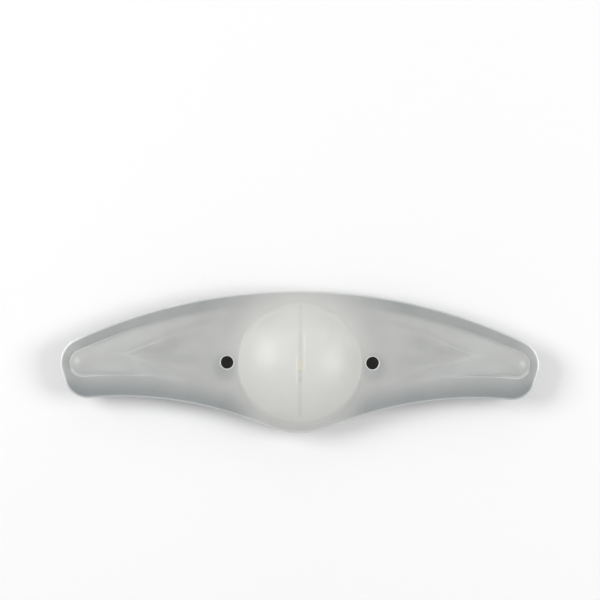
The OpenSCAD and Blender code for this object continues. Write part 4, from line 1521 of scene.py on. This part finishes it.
    def _outer(self, at: ReliefPoint) -> Value:
        """Height of the outer sheet above the seam.

        Args:
            at: Point of the plan.

        Returns:
            The height.
        """
        size, round_r = at.size, at.size["edge radius"]
        short = (round_r - at.stored("rim_gap")).most(0.0)
        plate = size["rim thickness"] - round_r + (round_r * round_r - short * short).root()
        plate = plate + self._rise(at, 0.0)
        if self.side is Side.FRONT:
            core = self._cap(at, size["core radius"])
        else:
            core = self._boss(at, "boss")
        near = at.maker.reach(at.out - size["hole x"], at.z)
        collar_r, collar_soft = size["collar radius"], size["collar soft"]
        collar = near.fade(collar_r - collar_soft, collar_r + collar_soft) * size["collar rise"]
        lip = near.fade(size["hole radius"], size["hole radius"] + size["lip width"]) * size["lip drop"]
        pip = at.maker.reach(at.out - size["pip x"], at.z - size["pip z"])
        pip = pip.fade(size["pip flat"], size["pip radius"]) * size["pip rise"]
        return plate.soft_most(core, size["foot soft"]) + collar - lip + pip - at.stored("cut")

    def _inner(self, at: ReliefPoint) -> Value:
        """Height of the inner sheet above the seam.

        Args:
            at: Point of the plan.

        Returns:
            The height.
        """
        size = at.size
        hollow = self._rise(at, size["hollow wall"]) - size["sink"]
        hollow = hollow * at.out.ease(size["hollow start"], size["hollow full"])
        if self.side is Side.FRONT:
            cave = self._cap(at, size["core radius"] - size["core wall"])
            cave = cave * (1.0 - at.reach.above(size["mouth radius"]))
        else:
            within = 1.0 - at.reach.above(size["seat radius"])
            cave = self._boss(at, "inner").most(size["seat depth"] * within) * within
        seam = size["seam gap"] + (size["seam cut"] - at.stored("rim_gap")).most(0.0)
        return cave.most(hollow).most(seam)

    def build(self) -> Piece:
        """Makes the skin and puts it on its body.

        Returns:
            The finished piece.
        """
        finish = MilkyPlastic(f"milky_plastic_{self.side.name.lower()}", self.side, self.plan).material()
        flat = self.flat_plan()
        plan, corners = flat.triangles()
        mesh = flat.mesh(f"{self.node}_plan", plan, corners)
        stored = {"rim_gap": self.plan.rim_gap(plan), "tongue_depth": self.plan.tongue_depth(plan),
                  "cut": self.cut(plan)}
        for name, values in stored.items():
            add_attribute(mesh, name, values, values)
        piece = new_object(f"{self.node}_skin", mesh)
        piece.data = grown_mesh(piece, self.relief(finish), self.sizes())
        tidy_normals(piece.data, self.sharp_degrees)
        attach(piece, self.body)
        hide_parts(self.node)
        return piece


def lathe(name: str, profile: Sequence[tuple[float, float]], centre: Sequence[float], steps: int) -> Mesh:
    """Closed round mesh about an axis along Y.

    Args:
        name: Name of the mesh.
        profile: Radius and y of each point from one pole to the other, in mm, poles included.
        centre: x and z of the axis, in mm.
        steps: Points round the axis.

    Returns:
        The mesh, in metres.
    """
    points, faces, rows = [], [], []
    for radius, y in profile:
        angles = [0.0] if radius == 0 else [2 * math.pi * k / steps for k in range(steps)]
        rows.append(list(range(len(points), len(points) + len(angles))))
        points += [((centre[0] + radius * math.cos(a)) * MM, y * MM, (centre[1] + radius * math.sin(a)) * MM)
                   for a in angles]
    for low, high in zip(rows, rows[1:]):
        for k in range(steps):
            a, b = low[k % len(low)], low[(k + 1) % len(low)]
            c, d = high[(k + 1) % len(high)], high[k % len(high)]
            faces.append(tuple(dict.fromkeys((a, b, c, d))))
    mesh = bpy.data.meshes.new(name)
    mesh.from_pydata(points, [], faces)
    return mesh


@dataclass
class PushButton:
    """Button cap with a soft rim, a shallow dish, a groove for its ring and a flange. Sizes are in mm."""

    rear: RearPlan
    body: str = "button"
    radius: float = 5.5
    top_y: float = 10.3
    edge_r: float = 0.45
    dish: float = 0.22
    dish_in: float = 0.35
    flange_r: float = 6.8
    flange_low: float = 6.6
    flange_top: float = 7.3
    bevel: float = 0.1
    groove_r: float = 4.7
    groove_low: float = 8.0
    groove_top: float = 9.0
    edge_turn: int = 15
    dish_shares: tuple[float, ...] = (1.0, 0.9, 0.75, 0.6, 0.45, 0.3, 0.15, 0.0)
    turn_points: int = 96
    sharp_degrees: float = 35.0

    def profile(self) -> list[tuple[float, float]]:
        """Works out half of the cap's section.

        Returns:
            Radius and y of each point, from the middle of the flange round to the middle of the dish.
        """
        flange_in = self.flange_r - self.bevel
        flange = [(0.0, self.flange_low), (flange_in, self.flange_low),
                  (self.flange_r, self.flange_low + self.bevel),
                  (self.flange_r, self.flange_top - self.bevel), (flange_in, self.flange_top)]
        groove = [(self.radius, self.flange_top), (self.radius, self.groove_low),
                  (self.groove_r, self.groove_low), (self.groove_r, self.groove_top),
                  (self.radius, self.groove_top)]
        rim_r, rim_y = self.radius - self.edge_r, self.top_y - self.edge_r
        turns = [math.radians(a) for a in range(0, 91, self.edge_turn)]
        edge = [(rim_r + self.edge_r * math.cos(a), rim_y + self.edge_r * math.sin(a)) for a in turns]
        dish = [((rim_r - self.dish_in) * s, self.top_y - self.dish * (1 - s * s) ** 2)
                for s in self.dish_shares]
        return flange + groove + edge + dish

    def build(self) -> Piece:
        """Makes the cap and puts it on the button's body.

        Returns:
            The finished piece.
        """
        mesh = lathe("button_cap_form", self.profile(), (0.0, self.rear.button_z), self.turn_points)
        tidy_normals(mesh, self.sharp_degrees)
        mesh.materials.append(BUTTON_GREY.material())
        piece = new_object("button_cap_form", mesh)
        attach(piece, self.body)
        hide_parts("button_cap")
        return piece


@dataclass
class PortFlap:
    """Soft cover of the charging socket with its strap and fixed end, as one piece, in mm."""

    rear: RearPlan
    fixed_body: str = "light"
    swing_body: str = "cover"
    top_y: float = 9.35
    low_y: float = 8.45
    edge_r: float = 0.28
    edge_share: float = 0.6
    plug_deep: float = 0.9
    plug_bevel: float = 0.18
    hinge_z: float = -13.4
    bend_half: float = 1.0
    web_thin: float = 0.2
    web_half: float = 0.75
    notch_r: float = 1.5
    notch_deep: float = 0.3
    notch_squash: float = 1.6
    notch_power: float = 1.5
    stud_r: float = 0.8
    stud_low_y: float = 7.3
    head_r: float = 1.2
    head_low_y: float = 6.8
    head_bevel: float = 0.2
    overlap: float = 0.02
    flap_corner_r: float = 1.0
    strap_root_r: float = 0.25
    strap_end_r: float = 0.6
    plug_corner_r: float = 0.6
    border_step: float = 0.3
    plug_step: float = 0.35
    fill_step: float = 0.34
    stud_points: int = 24
    sharp_degrees: float = 42.0
    edge_loops: tuple[float, ...] = (0.03, 0.09, 0.18, 0.3)
    edge_gaps: tuple[tuple[float, float], ...] = ((0.16, 0.15), (0.07, 0.06), (0.02, 0.01), (0.005, 0.0))
    plug_loops: tuple[float, ...] = (0.02, -0.04, -0.16)
    plug_wall: float = -0.02
    plug_flat: float = -0.14
    stud_loops: tuple[float, ...] = (0.0, 0.05)

    def border(self, inset: float) -> np.ndarray:
        """Outline of cover and strap, moved in by inset."""
        radii = (self.flap_corner_r - inset, self.strap_root_r + inset / 2, self.strap_end_r - inset / 2)
        return self.rear.flap_line(-inset, -inset, radii, self.border_step)

    def plug(self, grow: float) -> np.ndarray:
        """Outline of the plug under the cover, moved out by grow."""
        return self.rear.plug_line(grow, self.plug_corner_r + grow, self.plug_step)

    def heights(self, plan: np.ndarray) -> tuple[np.ndarray, np.ndarray]:
        """Works out the form of both sheets.

        Args:
            plan: Rows of x and z.

        Returns:
            Outer and inner y of each point.
        """
        x, z = plan[:, 0] - self.rear.port_x, plan[:, 1]
        gap = np.full(len(plan), self.edge_r)
        for inset, edge_gap in self.edge_gaps:
            gap = np.where(inside(plan, self.border(inset)), gap, edge_gap)
        drop = self.edge_r - np.sqrt(self.edge_r**2 - (self.edge_r - gap) ** 2)
        web = np.exp(-(((z - self.hinge_z) / self.web_half) ** 2)) * self.web_thin
        lip = np.hypot(x, (z - self.rear.flap_top) * self.notch_squash)
        notch = np.clip(1 - lip / self.notch_r, 0, 1) ** self.notch_power * self.notch_deep
        plug = inside(plan, self.plug(self.plug_wall))
        bevel = plug & ~inside(plan, self.plug(self.plug_flat))
        inner = np.where(plug, self.low_y - self.plug_deep, self.low_y + drop * self.edge_share + web)
        inner = inner + np.where(bevel, self.plug_bevel, 0.0)
        on_stud = np.hypot(x, z - self.rear.stud_z) < self.stud_r + self.overlap
        return self.top_y - drop - web - notch, np.where(on_stud, self.stud_low_y, inner)

    def form(self) -> Mesh:
        """Makes the flap, shut, with the head of its stud.

        Returns:
            The mesh, in metres.
        """
        stud = (self.rear.port_x, self.rear.stud_z)
        loops = [self.border(inset) for inset in self.edge_loops]
        loops += [self.plug(grow) for grow in self.plug_loops]
        loops += [ring(stud, self.stud_r + more, self.stud_points) for more in self.stud_loops]
        flat = PlanBody(self.border(0.0), [], loops, [], self.fill_step)
        plan, corners = flat.triangles()
        mesh = flat.mesh("port_flap", plan, corners)
        places = np.array([v.co for v in mesh.vertices])
        places[:, 1] = np.concatenate(self.heights(plan))
        mesh.vertices.foreach_set("co", (places * MM).astype(np.float32).ravel())
        head_top, head_in = self.stud_low_y + self.overlap, self.head_r - self.head_bevel
        head = [(0.0, self.head_low_y), (head_in, self.head_low_y),
                (self.head_r, self.head_low_y + self.head_bevel), (self.head_r, head_top), (0.0, head_top)]
        work = bmesh.new()
        work.from_mesh(mesh)
        work.from_mesh(lathe("stud_head", head, stud, self.stud_points))
        work.to_mesh(mesh)
        work.free()
        tidy_normals(mesh, self.sharp_degrees)
        return mesh

    def build(self) -> Piece:
        """Makes the flap, shut, in place of the cover's solids.

        Returns:
            The finished piece.
        """
        mesh = self.form()
        mesh.materials.append(SILICONE.material())
        piece = new_object("port_flap", mesh)
        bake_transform(piece)
        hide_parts("port_cover", "cover_anchor")
        return piece


@dataclass
class FoamPad:
    """Sticky foam between the cell and the reflector, with slightly drawn-in sides."""

    body: str = "light"
    cut_in_mm: float = 0.12
    edge: float = 0.02
    edge_steps: int = 2
    edge_turn: float = 1.0
    side_from: float = 0.47
    across: int = 18
    along: int = 28
    sharp_degrees: float = 40.0

    def form(self) -> Mesh:
        """Makes the pad as a soft-edged slab inside the space of its solid.

        Returns:
            The mesh, in metres.
        """
        low, high = (np.array(c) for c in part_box("foam_pad"))
        span = high - low
        work = bmesh.new()
        bmesh.ops.create_grid(work, x_segments=self.across, y_segments=self.along, size=0.5)
        bmesh.ops.translate(work, verts=work.verts, vec=(0, 0, -0.5))
        grown = bmesh.ops.extrude_face_region(work, geom=work.faces[:])
        moved = [g for g in grown["geom"] if isinstance(g, bmesh.types.BMVert)]
        bmesh.ops.translate(work, verts=moved, vec=(0, 0, 1.0))
        rim = [e for e in work.edges if e.calc_face_angle(0.0) > self.edge_turn]
        bmesh.ops.bevel(work, geom=rim, offset=self.edge, segments=self.edge_steps, affect="EDGES")
        for v in work.verts:
            pull = self.cut_in_mm * MM * (1 - (2 * v.co.z) ** 2)
            x = low[0] + (v.co.x + 0.5) * span[0] - np.sign(v.co.x) * pull * (abs(v.co.x) > self.side_from)
            z = low[2] + (v.co.y + 0.5) * span[2] - np.sign(v.co.y) * pull * (abs(v.co.y) > self.side_from)
            v.co = (x, low[1] + (v.co.z + 0.5) * span[1], z)
        mesh = bpy.data.meshes.new("foam_cushion")
        work.to_mesh(mesh)
        work.free()
        tidy_normals(mesh, self.sharp_degrees)
        return mesh

    def build(self) -> Piece:
        """Makes the pad and puts it on its body.

        Returns:
            The finished piece.
        """
        mesh = self.form()
        mesh.materials.append(FOAM.material())
        piece = new_object("foam_cushion", mesh)
        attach(piece, self.body)
        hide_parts("foam_pad")
        return piece


@dataclass
class Core:
    """Board, lamps, cell, socket and switch inside the shells, whose solids stay as they are."""

    finishes: tuple[tuple[Finish, tuple[str, ...]], ...] = (
        (WHITE_PLASTIC, ("reflector_plate",)),
        (BOARD, ("circuit_board",)),
        (LAMP_BODY, ("left_led", "right_led", "charge_lamp")),
        (LAMP_WINDOW, ("left_led_lens", "right_led_lens")),
        (CELL_FOIL, ("battery_cell",)),
        (AMBER_TAPE, ("cell_header",)),
        (RED_WIRE, ("red_lead",)),
        (BLACK_WIRE, ("black_lead",)),
        (SOLDER, ("lead_joints", "switch_terminals", "controller_pins", "charger_pins", "driver_pins")),
        (STEEL, ("usb_shell", "switch_plate")),
        (GOLD, ("usb_contacts",)),
        (BLACK_PLASTIC, ("usb_tongue", "switch_body", "switch_plunger", "controller_chip", "charger_chip",
                         "driver_transistors", "resistors")),
        (SEAL, ("button_oring",)),
        (CERAMIC, ("capacitors",)),
    )

    def dress(self) -> list[str]:
        """Gives each solid its finish.

        Returns:
            Names of the solids.
        """
        done = []
        for finish, names in self.finishes:
            for name in names:
                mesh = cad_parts[name].data
                mesh.materials.clear()
                mesh.materials.append(finish.material())
                done.append(name)
        return done


@dataclass(frozen=True)
class SoftLamp:
    """Soft square lamp that faces the light, with its place and width in metres and its power in watts."""

    name: str
    place: tuple[float, float, float]
    width: float
    power: float

    def build(self) -> None:
        """Puts the lamp into the scene."""
        data = bpy.data.lights.new(self.name, "AREA")
        data.size = self.width
        data.energy = self.power
        lamp = bpy.data.objects.new(self.name, data)
        lamp.location = self.place
        lamp.rotation_mode = "QUATERNION"
        lamp.rotation_quaternion = (-Vector(self.place)).to_track_quat("-Z", "Y")
        bpy.context.scene.collection.objects.link(lamp)


@dataclass
class Studio:
    """Pale floor that the light lies on, soft lamps, and a camera that looks down at its front, in mm."""

    floor_y: float = 10.35
    floor_half: float = 1500.0
    floor_white: Colour = (0.97, 0.97, 0.97)
    floor_rough: float = 0.9
    floor_gloss: float = 0.1
    # Colour of the painted shadow on the floor behind the middle of the light, where the spoke holes look
    # through.
    shade: Colour = (0.16, 0.155, 0.15)
    painted_shadow_x: tuple[float, float] = (31.0, 70.0)
    painted_shadow_z: tuple[float, float] = (3.0, 22.0)
    fade_out: tuple[float, float] = (250.0, 700.0)
    world_light: float = 0.4
    world_gloss: float = 0.8
    centre_x: float = -0.04
    centre_z: float = 24.93
    frame_mm: float = 238.5
    distance_mm: float = 1100.0
    roll_degrees: float = -0.3
    sensor_mm: float = 36.0
    near_mm: float = 50.0
    far_mm: float = 20000.0
    lamps: tuple[SoftLamp, ...] = (
        SoftLamp("left_softbox", (-0.87, -0.79, 0.26), 0.6, 7.4),
        SoftLamp("right_softbox", (0.89, -0.80, 0.05), 0.6, 6.2),
        SoftLamp("top_softbox", (0.0, -0.5, 1.1), 0.7, 0.8),
        SoftLamp("rear_left_softbox", (-0.8, 0.9, 0.35), 0.7, 10.5),
        SoftLamp("rear_right_softbox", (0.85, 0.85, 0.15), 0.7, 9.5),
    )

    def build(self) -> None:
        """Makes the floor, the surroundings, the lamps and the camera."""
        self._floor()
        self._world()
        for lamp in self.lamps:
            lamp.build()
        self._camera()

    def _floor(self) -> None:
        """Makes the pale floor, which only shows from the front and only there keeps light off."""
        half, y = self.floor_half * MM, self.floor_y * MM
        corners = [(-half, y, -half), (half, y, -half), (half, y, half), (-half, y, half)]
        mesh = bpy.data.meshes.new("floor")
        mesh.from_pydata(corners, [], [(0, 1, 2, 3)])
        mesh.materials.append(self._floor_material())
        new_object("floor", mesh)

    def _floor_material(self) -> bpy.types.Material:
        """Builds the floor's finish: a painted shadow under the light, clear far out, from behind and to
        shadow rays.

        Returns:
            The new material.
        """
        material, maker, shader = new_material("pale_floor")
        x, _, z = (v * MM_PER_METRE for v in maker.axes(maker.place()))
        # Painted shadow on the floor behind the light's middle.
        under = abs(x).fade(*self.painted_shadow_x) * abs(z).fade(*self.painted_shadow_z)
        maker.feed(shader, {"Base Color": maker.mix(under, self.floor_white, self.shade),
                            "Roughness": self.floor_rough, "Specular IOR Level": self.floor_gloss})
        behind = maker.output("ShaderNodeNewGeometry", "Backfacing")
        path = maker.add("ShaderNodeLightPath")
        first = 1.0 - Value(maker, path.outputs["Diffuse Depth"]).above(0.5)
        shadow = Value(maker, path.outputs["Is Shadow Ray"]) * first
        far = maker.reach(x, z).ease(*self.fade_out)
        clear = maker.add("ShaderNodeBsdfTransparent")
        sockets = {0: behind.most(shadow).most(far), 1: shader.outputs[0], 2: clear.outputs[0]}
        mixed = maker.add("ShaderNodeMixShader", None, sockets)
        maker.feed(material.node_tree.nodes["Material Output"], {"Surface": mixed.outputs[0]})
        return material

    def _world(self) -> None:
        """Makes white surroundings for the eye and for reflections, and a softer light from all sides."""
        world = bpy.data.worlds.new("studio")
        bpy.context.scene.world = world
        world.use_nodes = True
        maker = NodeMaker(world.node_tree)
        path = maker.add("ShaderNodeLightPath")
        camera, through, gloss = (Value(maker, path.outputs[f"Is {kind} Ray"])
                                  for kind in ("Camera", "Transmission", "Glossy"))
        seen = camera.most(through).most(gloss * self.world_gloss)
        strength = seen * (1.0 - self.world_light) + self.world_light
        background = world.node_tree.nodes["Background"]
        maker.feed(background, {"Color": (1.0, 1.0, 1.0, 1.0), "Strength": strength})

    def _camera(self) -> None:
        """Makes the camera at the photo's angle and framing."""
        data = bpy.data.cameras.new("camera")
        data.sensor_width = self.sensor_mm
        data.lens = self.sensor_mm * self.distance_mm / self.frame_mm
        data.clip_start, data.clip_end = self.near_mm * MM, self.far_mm * MM
        camera = bpy.data.objects.new("camera", data)
        camera.location = (self.centre_x * MM, -self.distance_mm * MM, self.centre_z * MM)
        camera.rotation_euler = (math.radians(90.0), math.radians(self.roll_degrees), 0.0)
        bpy.context.scene.collection.objects.link(camera)
        bpy.context.scene.camera = camera


def main() -> None:
    """Builds the sub-assemblies in order and reports each piece."""
    logging.basicConfig(level=logging.INFO, format="%(message)s")
    bpy.context.scene.view_settings.view_transform = "Standard"
    Studio().build()
    plan, rear = WingPlan(), RearPlan()
    shells = (Shell(Side.FRONT, plan, rear), Shell(Side.REAR, plan, rear))
    for assembly in (*shells, PushButton(rear), PortFlap(rear), FoamPad()):
        piece = assembly.build()
        LOG.info("built %s with %d faces", piece.name, len(piece.data.polygons))
    for name in Core().dress():
        LOG.info("dressed %s", name)


if __name__ == "__main__":
    main()
